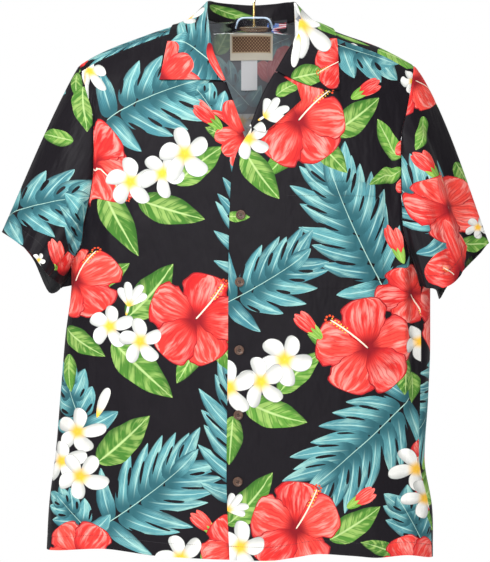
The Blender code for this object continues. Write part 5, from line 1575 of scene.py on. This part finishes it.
# --- finishes
class Tree:
    """Short names for building a material's nodes."""

    def __init__(self, name: str) -> None:
        """Start a material with an empty principled shader."""
        self.material = bpy.data.materials.new(name)
        self.material.use_nodes = True
        self.nodes, self.links = self.material.node_tree.nodes, self.material.node_tree.links
        self.shader = self.nodes["Principled BSDF"]

    def add(self, kind: str, links: dict | None = None, values: dict | None = None,
            **settings: object) -> bpy.types.Node:
        """Add a node.

        Args:
            kind: Its type.
            links: Sockets to link into its inputs.
            values: Constants for its inputs.
            settings: Its own properties.

        Returns:
            The node.
        """
        node = self.nodes.new(kind)
        for key, value in settings.items():
            setattr(node, key, value)
        for key, value in (values or {}).items():
            node.inputs[key].default_value = value
        for key, socket in (links or {}).items():
            self.links.new(socket, node.inputs[key])
        return node

    def _feed(self, node: bpy.types.Node, values: dict[int, object]) -> None:
        """Link or set inputs of a node."""
        for key, value in values.items():
            if isinstance(value, Socket):
                self.links.new(value, node.inputs[key])
            else:
                node.inputs[key].default_value = (*value, 1.0) if isinstance(value, tuple) else value

    def math(self, operation: str, a: object, b: object = 0.0) -> Socket:
        """Combine two values."""
        node = self.add("ShaderNodeMath", operation=operation)
        self._feed(node, {0: a, 1: b})
        return node.outputs[0]

    def times(self, a: object, b: object) -> Socket:
        """Multiply two values."""
        return self.math("MULTIPLY", a, b)

    def minus(self, a: object, b: object) -> Socket:
        """Take one value from another."""
        return self.math("SUBTRACT", a, b)

    def sine(self, a: object) -> Socket:
        """Sine of a value."""
        return self.math("SINE", a)

    def dress(self, color: Socket | None, **values: object) -> Material:
        """Colour the shader, set its named inputs and give back the material."""
        if color:
            self.links.new(color, self.shader.inputs["Base Color"])
        for name, value in values.items():
            self.shader.inputs[name.replace("_", " ")].default_value = value
        return self.material

    def ramp(self, value: Socket, low: float, high: float) -> Socket:
        """Ease from 0 at low to 1 at high."""
        node = self.add("ShaderNodeMapRange", {"Value": value}, {"From Min": low, "From Max": high},
                        interpolation_type="SMOOTHSTEP")
        return node.outputs["Result"]

    def mix(self, share: object, first: object, second: object) -> Socket:
        """Mix two colours."""
        node = self.add("ShaderNodeMix", data_type="RGBA")
        self._feed(node, {0: share, 6: first, 7: second})
        return node.outputs[2]

    def uv(self, name: str) -> tuple[Socket, Socket]:
        """The two coordinates of a map."""
        split = self.add("ShaderNodeSeparateXYZ", {0: self.add("ShaderNodeUVMap", uv_map=name).outputs[0]})
        return split.outputs[0], split.outputs[1]

    def noise(self, x: object, y: object, z: object = 0.0, scale: float = 1.0,
              detail: float = 2.0) -> Socket:
        """Noise at three coordinates."""
        join = self.add("ShaderNodeCombineXYZ")
        self._feed(join, {0: x, 1: y, 2: z})
        node = self.add("ShaderNodeTexNoise", {"Vector": join.outputs[0]},
                        {"Scale": scale, "Detail": detail})
        return node.outputs["Fac"]


@dataclass(frozen=True)
class PrintFinish:
    """How one paint of the print looks on the right and the wrong side of the cloth."""

    paint: Paint
    deep: Triple
    light: Triple
    centre: Triple | None = None
    centre_reach: float = 0.3
    streaks: Triple | None = None
    streak_share: float = 0.5
    grain: Pair = (1.4, 7.0)
    rim: Triple | None = None
    rim_share: float = 0.5
    rim_from: float = 0.45
    lines: Triple | None = None
    line_share: float = 0.5
    midrib: Triple | None = None
    veins: float = 0.0
    glow: Triple = (0.3, 0.5, 0.1)
    roughness: float = 0.74
    gloss: float = 0.16

    def build(self, inside: Pair | None = None) -> Material:
        """Make the material.

        Args:
            inside: For the wrong side of the cloth, how pale its veil is and the veil's share; the veil also
                holds painted light inside the neck and painted shade inside the sleeves.

        Returns:
            The material.
        """
        tree = Tree(f"print_{self.paint.name.lower()}{'_inside' if inside else ''}")
        u, v_raw = tree.uv("Motif")
        v = tree.times(tree.minus(v_raw, 0.5), 2.6)
        aside = tree.math("ABSOLUTE", v)
        tone, hue = tree.uv("Shade")
        s, t = tree.uv("Cloth")
        color = tree.mix(tone, self.deep, self.light)
        if self.streaks:
            drift = tree.noise(tree.times(u, self.grain[0]), tree.times(v, self.grain[1]),
                               tree.times(hue, 31.0), 1.0, 3.0)
            glow = tree.times(tree.ramp(drift, 0.42, 0.66), self.streak_share)
            glow = tree.times(glow, tree.ramp(u, 0.18, 0.7))
            color = tree.mix(glow, color, self.streaks)
        if self.lines:
            wander = tree.noise(tree.times(u, 2.0), tree.times(v, 1.5), hue, 2.0, 1.0)
            across = tree.math("ADD", tree.times(v, 36.0), tree.times(wander, 9.0))
            fine = tree.ramp(tree.sine(across), 0.55, 1.0)
            fade = tree.minus(1.0, tree.ramp(u, 0.6, 1.0))
            fine = tree.times(tree.times(fine, fade), self.line_share)
            color = tree.mix(fine, color, self.lines)
        if self.veins:
            slant = tree.minus(tree.times(u, 52.0), tree.times(aside, 10.0))
            band = tree.noise(tree.times(slant, 0.18), aside, hue, 1.0, 2.0)
            color = tree.mix(tree.times(tree.ramp(band, 0.42, 0.62), 0.6), color, self.glow)
            line = tree.ramp(tree.sine(slant), 0.8, 0.99)
            color = tree.mix(tree.times(line, self.veins), color, self.deep)
        if self.midrib:
            middle = tree.minus(1.0, tree.ramp(aside, 0.03, 0.11))
            color = tree.mix(tree.times(middle, 0.85), color, self.midrib)
        if self.rim:
            side = tree.ramp(v, self.rim_from, 1.0)
            color = tree.mix(tree.times(side, self.rim_share), color, self.rim)
        if self.centre:
            near = tree.minus(1.0, tree.ramp(u, self.centre_reach * 0.2, self.centre_reach))
            color = tree.mix(near, color, self.centre)
        if inside:
            # The veil mutes the wrong side and also holds painted light inside the neck and painted shade
            # inside the sleeves.
            veil, share = inside
            color = tree.mix(share, color, (veil * 0.93, veil * 0.97, veil * 1.05))
        cloudy = tree.noise(s, t, 0.0, 34.0, 3.0)
        color = tree.mix(tree.times(tree.ramp(cloudy, 0.35, 0.75), 0.16), color, (0.0, 0.0, 0.0))
        self._weave(tree, s, t)
        return tree.dress(color, Roughness=self.roughness, Specular_IOR_Level=self.gloss,
                          Sheen_Weight=0.02, Sheen_Roughness=0.45)

    def _weave(self, tree: Tree, s: Socket, t: Socket) -> None:
        """Fine crossing threads and faint crumples."""
        warp = tree.sine(tree.times(s, 7800.0))
        weft = tree.sine(tree.times(t, 7800.0))
        threads = tree.add("ShaderNodeBump", {"Height": tree.times(warp, weft)},
                           {"Strength": 0.1, "Distance": 0.0002})
        crumple = tree.noise(s, tree.times(t, 0.45), 0.0, 24.0, 3.0)
        soft = tree.add("ShaderNodeBump", {"Height": crumple, "Normal": threads.outputs[0]},
                        {"Strength": 0.6, "Distance": 0.01})
        tree.links.new(soft.outputs[0], tree.shader.inputs["Normal"])


PRINT_FINISHES = [
    PrintFinish(Paint.GROUND, (0.0048, 0.0034, 0.0056), (0.0058, 0.0042, 0.0068), roughness=0.52, gloss=0.13),
    PrintFinish(Paint.PETAL, (0.62, 0.02, 0.018), (0.84, 0.07, 0.05), centre=(0.24, 0.006, 0.012),
                centre_reach=0.34, streaks=(0.93, 0.44, 0.38), streak_share=0.58, grain=(2.2, 4.0),
                rim=(0.52, 0.012, 0.018), rim_share=0.66, lines=(0.44, 0.01, 0.018), line_share=0.62),
    PrintFinish(Paint.STAMEN, (0.8, 0.55, 0.42), (0.92, 0.8, 0.66)),
    PrintFinish(Paint.POLLEN, (0.92, 0.55, 0.05), (0.66, 0.02, 0.02)),
    PrintFinish(Paint.PLUMERIA, (0.7, 0.69, 0.65), (0.84, 0.84, 0.81), centre=(0.9, 0.5, 0.04),
                centre_reach=0.42, rim=(0.4, 0.41, 0.39), rim_share=0.8, rim_from=0.05,
                lines=(0.52, 0.52, 0.48), line_share=0.55),
    PrintFinish(Paint.LEAF, (0.046, 0.16, 0.02), (0.12, 0.31, 0.042), midrib=(0.46, 0.62, 0.24),
                veins=0.7, glow=(0.38, 0.54, 0.15), rim=(0.022, 0.09, 0.012), rim_share=0.75),
    PrintFinish(Paint.FROND, (0.048, 0.19, 0.23), (0.12, 0.35, 0.37), centre=(0.022, 0.1, 0.12),
                centre_reach=0.4, streaks=(0.34, 0.6, 0.54), streak_share=0.8,
                midrib=(0.36, 0.6, 0.56), rim=(0.01, 0.058, 0.078), rim_share=0.8, grain=(2.2, 1.5),
                lines=(0.014, 0.08, 0.11), line_share=0.72),
    PrintFinish(Paint.RIB, (0.3, 0.5, 0.44), (0.4, 0.6, 0.52)),
    PrintFinish(Paint.BUD, (0.1, 0.27, 0.03), (0.28, 0.48, 0.08), midrib=(0.46, 0.62, 0.2)),
    PrintFinish(Paint.SHADOW, (0.3, 0.008, 0.012), (0.36, 0.012, 0.016)),
    PrintFinish(Paint.SHADE, (0.26, 0.27, 0.26), (0.34, 0.35, 0.34))]


@dataclass(frozen=True)
class PlainFinish:
    """A finish of one colour."""

    name: str
    color: Triple
    roughness: float = 0.5
    metallic: float = 0.0
    transmission: float = 0.0
    ior: float = 1.45
    grain: float = 0.0
    grain_scale: float = 60.0

    def build(self) -> Material:
        """Make the material."""
        tree, color = Tree(self.name), None
        if self.grain:
            place = tree.add("ShaderNodeTexCoord").outputs["Object"]
            noise = tree.add("ShaderNodeTexNoise", {"Vector": place},
                             {"Scale": self.grain_scale, "Detail": 4.0, "Distortion": 1.2})
            darker = tuple(c * (1 - self.grain) for c in self.color)
            color = tree.mix(tree.ramp(noise.outputs["Fac"], 0.4, 0.62), darker, self.color)
        return tree.dress(color, Base_Color=(*self.color, 1.0), Roughness=self.roughness,
                          Metallic=self.metallic, Transmission_Weight=self.transmission, IOR=self.ior)


# --- small solid helpers
def put(name: str, vertices: Array, faces: Sequence[Sequence[int]], finish: Material,
        sharp: float = 40.0) -> bpy.types.Object:
    """Make an object from points given by their height above the hem line.

    Args:
        name: Of the object.
        vertices: Its points.
        faces: Their indices.
        finish: Its material.
        sharp: Angle from which an edge stays sharp.

    Returns:
        The object.
    """
    mesh = bpy.data.meshes.new(name)
    mesh.from_pydata([tuple(v) for v in world(vertices)], [], [tuple(map(int, f)) for f in faces])
    shape = bmesh.new()
    shape.from_mesh(mesh)
    bmesh.ops.recalc_face_normals(shape, faces=shape.faces)
    shape.to_mesh(mesh)
    shape.free()
    mesh.shade_smooth()
    mesh.set_sharp_from_angle(angle=math.radians(sharp))
    mesh.materials.append(finish)
    return link(name, mesh)


def circle(count: int) -> Array:
    """Points evenly round a circle of radius one."""
    turn = np.linspace(0, 2 * math.pi, count, endpoint=False)
    return np.stack([np.cos(turn), np.sin(turn)], axis=-1)


def tube_faces(rings: int, sides: int) -> list[tuple[int, ...]]:
    """Faces of a row of rings joined one to the next, closed at both ends."""
    faces = [(i * sides + k, i * sides + (k + 1) % sides, (i + 1) * sides + (k + 1) % sides,
              (i + 1) * sides + k) for i in range(rings - 1) for k in range(sides)]
    return faces + [tuple(range(sides))[::-1], tuple((rings - 1) * sides + k for k in range(sides))]


def ribbon(name: str, grid: Array, outward: Array, thickness: float,
           finish: Material) -> bpy.types.Object:
    """A thin closed strip from a grid of its outer points."""
    rows, columns = grid.shape[:2]
    count = rows * columns
    index = np.arange(count).reshape(rows, columns)
    points = np.concatenate([grid.reshape(-1, 3), (grid - outward * thickness).reshape(-1, 3)])
    quads = np.stack([index[:-1, :-1], index[:-1, 1:], index[1:, 1:], index[1:, :-1]], -1).reshape(-1, 4)
    border = border_of(index)
    after = np.roll(border, -1)
    rim = np.stack([after, border, border + count, after + count], axis=-1)
    item = put(name, points, np.concatenate([quads, quads[:, ::-1] + count, rim]), finish, 50)
    layer = item.data.uv_layers.new(name="Label")
    across = np.tile(np.linspace(0, 1, columns), rows)
    up = np.repeat(np.linspace(0, 1, rows), columns)
    both = np.stack([np.tile(across, 2), np.tile(up, 2)], axis=-1)
    corner = np.empty(len(item.data.loops), dtype=np.int32)
    item.data.loops.foreach_get("vertex_index", corner)
    layer.uv.foreach_set("vector", both[corner].astype(np.float32).ravel())
    return item


# --- buttons
@dataclass(frozen=True)
class Button:
    """A turned coconut button with a raised rim, four holes and crossed thread."""

    radius: float = 0.0067
    height: float = 0.0027
    hole: float = 0.00085
    hole_out: float = 0.0017
    sides: int = 40

    def _level(self, distance: Array) -> Array:
        """Height of the top at a distance from the middle."""
        share = distance / self.radius
        dish = 0.62 + 0.38 * smooth((share - 0.52) / 0.26)
        return self.height * (dish - 0.42 * smooth((share - 0.86) / 0.14))

    def _plan(self) -> tuple[Array, Array]:
        """Points and triangles of the top, seen from above, with the holes left out."""
        points, faces = [], [list(range(self.sides))]
        for share in (1.0, 0.95, 0.88, 0.8, 0.72, 0.64, 0.55, 0.42):
            points.append(circle(self.sides) * share * self.radius)
        count = sum(len(p) for p in points)
        for k in range(4):
            faces.append(list(range(count, count + 12)))
            points.append(pointing(45 + 90 * k) * self.hole_out + self.hole * circle(12))
            count += 12
        flat = np.concatenate(points)
        found = delaunay_2d_cdt([Vector(p) for p in flat.tolist()], [], faces, 1, 1e-9, True)
        cells = [cell for cell, cover in zip(found[2], found[5]) if cover == [0]]
        return np.array([v[:] for v in found[0]]), np.array(cells)

    def build(self, name: str, height: float, form: BodyForm, shell: Material,
              thread: Material) -> list[bpy.types.Object]:
        """Make the button and its thread.

        Args:
            name: Of the CAD button it stands for.
            height: Of its middle, above the hem line.
            form: The body it lies on.
            shell: Material of the button.
            thread: Material of the thread.

        Returns:
            The button and the thread.
        """
        x = FRONT_EDGE["left"]("x", height) + BUTTON_INSET
        middle, step = form.on_face(x, height, "front"), 0.0034
        across = unit(form.on_face(x + step, height, "front") - form.on_face(x - step, height, "front"))
        upward = unit(form.on_face(x, height + step, "front") - form.on_face(x, height - step, "front"))
        outward = unit(np.cross(across, upward))
        turn = math.radians(12 * math.sin(height * 97))
        right = across * math.cos(turn) + upward * math.sin(turn)
        up = upward * math.cos(turn) - across * math.sin(turn)
        plan, cells = self._plan()
        level = self._level(np.linalg.norm(plan, axis=-1))
        base = middle + outward * 0.0005
        top = base + plan[:, :1] * right + plan[:, 1:] * up + level[:, None] * outward
        low = base + plan[:, :1] * right * 0.93 + plan[:, 1:] * up * 0.93
        count = len(plan)
        edges = edges_of(cells)
        twins = {(int(a), int(b)) for a, b in edges}
        rim = [(b, a, a + count, b + count) for a, b in twins if (b, a) not in twins]
        faces = [tuple(c) for c in cells] + [tuple(c[::-1] + count) for c in cells] + rim
        disc = put(name + "_turned", np.concatenate([top, low]), faces, shell, 35)
        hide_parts(name)
        strands = []
        for i, j in ((0, 1), (3, 2)):
            for shift in (-0.00028, 0.00028):
                start, end = (pointing(45 + 90 * m) * self.hole_out + (0, shift) for m in (i, j))
                line = []
                for s in np.linspace(0, 1, 7):
                    spot = start + (end - start) * s
                    rise = self._level(np.array(0.0)) * 0.55 + 0.0013 * math.sin(math.pi * s) ** 0.5
                    line.append(base + spot[0] * right + spot[1] * up + rise * outward)
                strands.append((np.array(line), up))
        points, faces = [], []
        for line, side in strands:
            start = len(points)
            for place in line:
                for m in range(6):
                    a = 2 * math.pi * m / 6
                    points.append(place + 0.00026 * (math.cos(a) * side + math.sin(a) * outward))
            faces += [tuple(n + start for n in face) for face in tube_faces(len(line), 6)]
        knots = put(name + "_thread", np.array(points), faces, thread, 60)
        return [disc, knots]


# --- labels
@dataclass(frozen=True)
class Labels:
    """The woven neck label, the bare care label below it and the small flag in the neck seam."""

    form: BodyForm
    neck: Triple = (-0.0035, 0.063, 0.035)
    care: Triple = (-0.0067, 0.024, 0.043)
    flag: Triple = (0.039, 0.022, 0.016)

    def _inside(self, spec: Triple, top: float, lift: float,
                curl: float) -> tuple[Array, Array]:
        """Grid of a label on the inside of the yoke, and the way it faces."""
        x, width, height = spec
        rows = []
        for drop in np.linspace(top + height, top, 14):
            across = x + width * np.linspace(-0.5, 0.5, 22)
            over = self.form.over_shoulder(across, BACK_NECK_TURN)
            rows.append(self.form.on_face(across, over[:, 2] - drop, "back"))
        grid = np.array(rows)
        normals = grid_normals(grid)
        toward = normals * np.sign(np.sum(normals * np.array([0, -1.0, -0.3])))
        low = np.linspace(1, 0, 14)[:, None]
        wave = 1 + 0.35 * np.sin(np.linspace(0, 5, 22))[None, :]
        return grid + toward * (CLOTH + lift + curl * low ** 2 * wave)[..., None], toward

    def _sewn(self, name: str, grid: Array, toward: Array,
              finish: Material) -> None:
        item = ribbon(name + "_woven", grid, toward, 0.0006, finish)
        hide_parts(name)
        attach(item, "root")
        size = (float(arc(grid, 1)[:, -1].mean()), float(arc(grid, 0)[-1].mean()))
        LOG.info("%s: cut %.3f x %.3f", name, *size)

    def build(self, collar_line: Array) -> None:
        """Make the three labels.

        Args:
            collar_line: Points of the seam under the collar.
        """
        satin = PlainFinish("care_satin", (0.95, 0.96, 0.98), 0.55).build()
        for name, spec, top, lift, curl, finish in (
                ("neck_label", self.neck, 0.0015, 0.0012, 0.0016, woven_label()),
                ("care_label", self.care, 0.0365, 0.0011, 0.003, satin)):
            self._sewn(name, *self._inside(spec, top, lift, curl), finish)
        x, width, height = self.flag
        line = collar_line[collar_line[:, 1] > 0.0]
        ends = read_line(np.array([x - width / 2, x + width / 2]), line[:, 0], line)
        ends[:, 2] = ends[:, 2].mean()
        toward = unit(np.cross(ends[1] - ends[0], (0.0, 0.0, -1.0)))
        toward = toward * np.sign(np.dot(toward, NECK_MIDDLE - ends.mean(axis=0)))
        seam = ends[0] + (ends[1] - ends[0]) * np.linspace(0, 1, 24)[:, None]
        rises = height * (np.linspace(0, 1, 18) - 0.6)
        grid = np.array([seam + toward * 0.0034 + np.array([0, 0, v]) for v in rises])
        self._sewn("flag_tag", grid, np.broadcast_to(toward, grid.shape), flag_finish())


@dataclass(frozen=True)
class CapHighlightBead:
    """A rolled rim round the front of the hanger's oval cap, coloured pale blue-white as a painted highlight
    on the clear plastic's edge.
    """

    half_x: float = 0.0262
    half_y: float = 0.019
    low: float = 0.7575
    high: float = 0.777
    squareness: float = 0.7
    radius: float = 0.0015

    def build(self, finish: Material) -> bpy.types.Object:
        """Make the bead, up one end of the cap, over its front and down the other."""
        middle, half = (self.low + self.high) / 2, (self.high - self.low) / 2
        points, line, sides = [], [], 8
        for s in np.linspace(-1, 1, 61):
            x = self.half_x * math.sin(s * math.pi / 2)
            depth = self.half_y * math.sqrt(max(1 - (x / (self.half_x * 1.03)) ** 2, 0.0))
            turn = math.radians(118 + 82 * float(smooth((abs(s) - 0.34) / 0.66)))
            line.append((x, depth * signed_power(math.cos(turn), self.squareness) - 0.0004,
                         middle + half * signed_power(math.sin(turn), self.squareness)))
        line = np.array(line)
        along = unit(np.gradient(line, axis=0))
        aside = unit(np.cross(along, (0.0, 1.0, 0.35)))
        other = np.cross(along, aside)
        for place, first, second in zip(line, aside, other):
            for k in range(sides):
                a = 2 * math.pi * k / sides
                points.append(place + self.radius * (math.cos(a) * first + math.sin(a) * second))
        return put("hanger_cap_highlight_bead", np.array(points), tube_faces(len(line), sides), finish, 60)


def woven_label() -> Material:
    """Brown cloth with a cream border and a small woven diaper pattern."""
    tree = Tree("neck_label_weave")
    u, v = tree.uv("Label")
    edge_u = tree.math("MINIMUM", u, tree.minus(1.0, u))
    edge_v = tree.math("MINIMUM", v, tree.minus(1.0, v))
    above = tree.math("MINIMUM", edge_v, tree.minus(v, 0.22))
    inner = tree.times(tree.ramp(edge_u, 0.03, 0.042), tree.ramp(above, 0.05, 0.07))
    ring = tree.times(tree.ramp(edge_u, 0.055, 0.065), tree.ramp(above, 0.095, 0.115))
    wave = tree.times(tree.sine(tree.times(u, 88.0)), tree.sine(tree.times(v, 50.0)))
    figure = tree.mix(tree.ramp(wave, 0.05, 0.35), (0.13, 0.062, 0.036), (0.42, 0.27, 0.15))
    middle = tree.mix(ring, (0.6, 0.46, 0.3), figure)
    color = tree.mix(inner, (0.8, 0.74, 0.62), middle)
    return tree.dress(color, Roughness=0.8)


def flag_finish() -> Material:
    """A small woven flag: a few stripes and a blue corner with rows of stars."""
    tree = Tree("flag_weave")
    u, v = tree.uv("Label")
    across = tree.math("DIVIDE", tree.minus(u, 0.1), 0.84)
    up = tree.math("DIVIDE", tree.minus(v, 0.24), 0.48)
    stripe = tree.math("MODULO", tree.times(up, 7.0), 2.0)
    red = tree.math("LESS_THAN", stripe, 1.0)
    color = tree.mix(red, (0.66, 0.6, 0.62), (0.5, 0.03, 0.06))
    corner = tree.times(tree.math("LESS_THAN", across, 0.44), tree.math("GREATER_THAN", up, 0.28))
    stars = tree.times(tree.sine(tree.times(u, 88.0)), tree.sine(tree.times(v, 62.0)))
    field_color = tree.mix(tree.ramp(stars, 0.6, 0.8), (0.025, 0.1, 0.36), (0.4, 0.46, 0.6))
    color = tree.mix(corner, color, field_color)
    for value in (across, up):
        outside = tree.math("GREATER_THAN", tree.math("ABSOLUTE", tree.minus(value, 0.5)), 0.5)
        color = tree.mix(outside, color, (0.012, 0.013, 0.018))
    return tree.dress(color, Roughness=0.8)


# --- stitches
@dataclass
class Sewing:
    """Runs of machine stitches, placed with geometry nodes along rows of lattice places."""

    finish: Material
    spots: list[Array] = field(default_factory=list)
    along: list[Array] = field(default_factory=list)
    out: list[Array] = field(default_factory=list)
    spacing: float = 0.0032
    length: float = 0.0023
    thickness: float = 0.00022
    seed: int = 7

    def follow(self, line: Array, normals: Array) -> None:
        """Add stitches along a line of points on a panel, with the outward directions there."""
        length = arc(line, 0)
        places = np.arange(self.spacing, length[-1] - self.spacing / 2, self.spacing)
        spots = read_line(places, length, line)
        self.spots.append(spots)
        self.along.append(unit(read_line(places + 0.0008, length, line) - spots))
        self.out.append(unit(read_line(places, length, normals)))

    def hem(self, lattice: Lattice, from_low: bool, depth: float = HEM_DEPTH) -> None:
        """Add the row of stitches over a hem."""
        grid = lattice.grid if from_low else lattice.grid[::-1]
        normals = lattice.normals if from_low else lattice.normals[::-1]
        up = arc(grid, 0)
        line, outs = (np.array([read_line(depth, up[:, j], values[:, j]) for j in range(grid.shape[1])])
                      for values in (grid, normals))
        self.follow(line, outs)

    def build(self) -> bpy.types.Object:
        """Make all stitches as one object."""
        spots = world(np.concatenate(self.spots) + np.concatenate(self.out) * 0.00012)
        mesh = bpy.data.meshes.new("stitches")
        mesh.vertices.add(len(spots))
        mesh.vertices.foreach_set("co", spots.ravel())
        for name, values in (("along", self.along), ("outward", self.out)):
            layer = mesh.attributes.new(name, "FLOAT_VECTOR", "POINT")
            layer.data.foreach_set("vector", np.concatenate(values).astype(np.float32).ravel())
        seed = link("stitch_places", mesh)
        group, sockets = self._group()
        modifier = seed.modifiers.new("stitches", "NODES")
        modifier.node_group = group
        modifier[sockets["Length"]] = self.length
        modifier[sockets["Thickness"]] = self.thickness
        modifier[sockets["Seed"]] = self.seed
        graph = bpy.context.evaluated_depsgraph_get()
        final = bpy.data.meshes.new_from_object(seed.evaluated_get(graph), depsgraph=graph)
        seed.modifiers.remove(modifier)
        bpy.data.objects.remove(seed, do_unlink=True)
        return link("stitches", final)

    def _group(self) -> tuple[bpy.types.NodeTree, dict[str, str]]:
        """The node group that sets one stitch on each place."""
        group = bpy.data.node_groups.new("Stitches", "GeometryNodeTree")
        face = group.interface
        sockets = {}
        face.new_socket("Geometry", in_out="INPUT", socket_type="NodeSocketGeometry")
        for name, kind, value in (("Length", "NodeSocketFloat", self.length),
                                  ("Thickness", "NodeSocketFloat", self.thickness),
                                  ("Seed", "NodeSocketInt", self.seed)):
            socket = face.new_socket(name, in_out="INPUT", socket_type=kind)
            socket.default_value = value
            sockets[name] = socket.identifier
        face.new_socket("Geometry", in_out="OUTPUT", socket_type="NodeSocketGeometry")
        nodes, links = group.nodes, group.links

        def add(kind: str, **settings: object) -> bpy.types.Node:
            node = nodes.new(kind)
            for key, value in settings.items():
                setattr(node, key, value)
            return node

        start, end = add("NodeGroupInput"), add("NodeGroupOutput")
        vectors = []
        for name in ("along", "outward"):
            node = add("GeometryNodeInputNamedAttribute", data_type="FLOAT_VECTOR")
            node.inputs["Name"].default_value = name
            vectors.append(node.outputs["Attribute"])
        turn = add("FunctionNodeAlignRotationToVector", axis="Z")
        lift = add("FunctionNodeAlignRotationToVector", axis="X", pivot_axis="Z")
        stitch = add("GeometryNodeMeshCylinder")
        stitch.inputs["Vertices"].default_value = 6
        vary = add("FunctionNodeRandomValue", data_type="FLOAT")
        vary.inputs[2].default_value = 0.9
        vary.inputs[3].default_value = 1.06
        scatter = add("GeometryNodeInstanceOnPoints")
        real = add("GeometryNodeRealizeInstances")
        paint = add("GeometryNodeSetMaterial")
        paint.inputs["Material"].default_value = self.finish
        for source, node, socket in (
                (vectors[0], turn, "Vector"), (turn.outputs["Rotation"], lift, "Rotation"),
                (vectors[1], lift, "Vector"), (start.outputs["Thickness"], stitch, "Radius"),
                (start.outputs["Length"], stitch, "Depth"), (start.outputs["Seed"], vary, "Seed"),
                (start.outputs["Geometry"], scatter, "Points"), (stitch.outputs["Mesh"], scatter, "Instance"),
                (lift.outputs["Rotation"], scatter, "Rotation"), (vary.outputs[1], scatter, "Scale"),
                (scatter.outputs["Instances"], real, 0), (real.outputs[0], paint, "Geometry"),
                (paint.outputs["Geometry"], end, 0)):
            links.new(source, node.inputs[socket])
        return group, sockets


# --- studio
class Studio:
    """Camera, soft lights, a pale floor and a white surround."""

    def build(self) -> None:
        """Set the stage."""
        scene = bpy.context.scene
        camera = link("camera", bpy.data.cameras.new("camera"))
        camera.location = (CAMERA_X, -CAMERA_DISTANCE, CAMERA_HEIGHT - HANG_DROP)
        camera.rotation_euler = (math.pi / 2, 0, 0)
        camera.data.sensor_fit = "VERTICAL"
        camera.data.sensor_height = 24.0
        camera.data.lens = 24.0 * CAMERA_DISTANCE / VIEW_HEIGHT
        scene.camera = camera
        scene.view_settings.view_transform = "Standard"
        scene.view_settings.look = "None"
        world_light = bpy.data.worlds.new("surround")
        scene.world = world_light
        world_light.use_nodes = True
        nodes, links = world_light.node_tree.nodes, world_light.node_tree.links
        background, path = nodes["Background"], nodes.new("ShaderNodeLightPath")
        background.inputs["Color"].default_value = (1, 1, 1, 1)
        strength = nodes.new("ShaderNodeMapRange")
        strength.inputs["To Min"].default_value = 0.34
        strength.inputs["To Max"].default_value = 1.0
        links.new(path.outputs["Is Camera Ray"], strength.inputs["Value"])
        links.new(strength.outputs["Result"], background.inputs["Strength"])
        floor, low = bpy.data.meshes.new("floor"), -1.32
        floor.from_pydata([(-3, -3, low), (3, -3, low), (3, 2.2, low), (-3, 2.2, low)], [], [(0, 1, 2, 3)])
        pale = PlainFinish("floor_white", (0.9, 0.9, 0.9), 0.8).build()
        shader = pale.node_tree.nodes["Principled BSDF"]
        shader.inputs["Emission Color"].default_value = (1, 1, 1, 1)
        shader.inputs["Emission Strength"].default_value = 0.42
        floor.materials.append(pale)
        link("floor", floor)
        for name, place, size, power in (("key", (-1.6, -2.0, 0.9), 0.6, 62.0),
                                         ("front", (0.3, -2.7, 0.2), 1.3, 42.0),
                                         ("top", (0.1, -0.3, 1.5), 0.9, 14.0)):
            light = bpy.data.lights.new(name, "AREA")
            light.size, light.energy = size, power
            item = link(name, light)
            item.location = place
            aim = Vector((0.0, 0.0, -0.45)) - Vector(place)
            item.rotation_euler = aim.to_track_quat("-Z", "Y").to_euler()


# --- the shirt
class Shirt:
    """The whole garment on its hanger."""

    def __init__(self) -> None:
        """Prepare the form and the pattern."""
        self.form = BodyForm()
        self.pattern = Pattern(self.form)

    def build(self) -> None:
        panels = self.pattern.build()
        LOG.info("panels laid out")
        prints = Printer(panels).all_panels()
        finishes = [finish.build() for finish in PRINT_FINISHES]
        # Wrong-side finishes: the paler veil is the cloth's own muted wrong side plus painted light for the
        # dim neck; the near-black veil in the sleeves is painted shade.
        pale = finishes + [finish.build(INSIDE_VEIL_AND_PAINTED_LIGHT) for finish in PRINT_FINISHES]
        sleeve_inside_shaded = finishes + [finish.build(SLEEVE_INSIDE_PAINTED_SHADE) for finish in PRINT_FINISHES]
        for name, lattice in panels.items():
            inside = sleeve_inside_shaded if name.startswith("sleeve") else pale
            item = PrintedCloth(lattice, prints[name]).build(name + "_cloth", inside)
            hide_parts(name)
            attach(item, "root")
            width, length, area = lattice.cut()
            LOG.info("%s: %d faces, cut %.3f x %.3f, %.4f", name, len(item.data.polygons), width, length,
                     area)
        self._trims()

    def _trims(self) -> None:
        """Buttons, labels, stitches and the hanger."""
        shell = PlainFinish("coconut_shell", (0.105, 0.052, 0.032), 0.38, grain=0.45,
                            grain_scale=420.0).build()
        thread = PlainFinish("button_thread", (0.045, 0.03, 0.026), 0.75).build()
        for number, height in enumerate(BUTTON_HEIGHTS, start=1):
            for item in Button().build(f"button_{number}", height, self.form, shell, thread):
                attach(item, "root")
        Labels(self.form).build(self.pattern.collar_line)
        sewing = Sewing(PlainFinish("thread_black", (0.02, 0.017, 0.022), 0.6).build())
        panels = self.pattern.panels
        for name in ("front_right", "front_left", "back_panel"):
            sewing.hem(panels[name], True)
        for name in ("sleeve_right", "sleeve_left", "pocket"):
            sewing.hem(panels[name], False)
        stitches = sewing.build()
        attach(stitches, "root")
        clear = PlainFinish("clear_acrylic", (0.93, 0.95, 0.96), 0.06, transmission=1.0, ior=1.1).build()
        gold = PlainFinish("gold_wire_polished", (0.86, 0.6, 0.24), 0.18, metallic=1.0).build()
        # The cap's bead is pale blue-white as a painted highlight on the clear plastic's edge.
        highlight_bead = CapHighlightBead().build(PlainFinish("cap_edge_painted_highlight", (0.58, 0.72, 0.88), 0.12, transmission=0.35).build())
        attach(highlight_bead, "root")
        for name, finish in (("hanger_body", clear), ("hanger_hook", gold)):
            node = frame["nodes"][name]
            node.data.materials.clear()
            node.data.materials.append(finish)


def main() -> None:
    """Build the shirt in its studio."""
    logging.basicConfig(level=logging.INFO, format="%(message)s")
    Studio().build()
    Shirt().build()


if __name__ == "__main__":
    main()
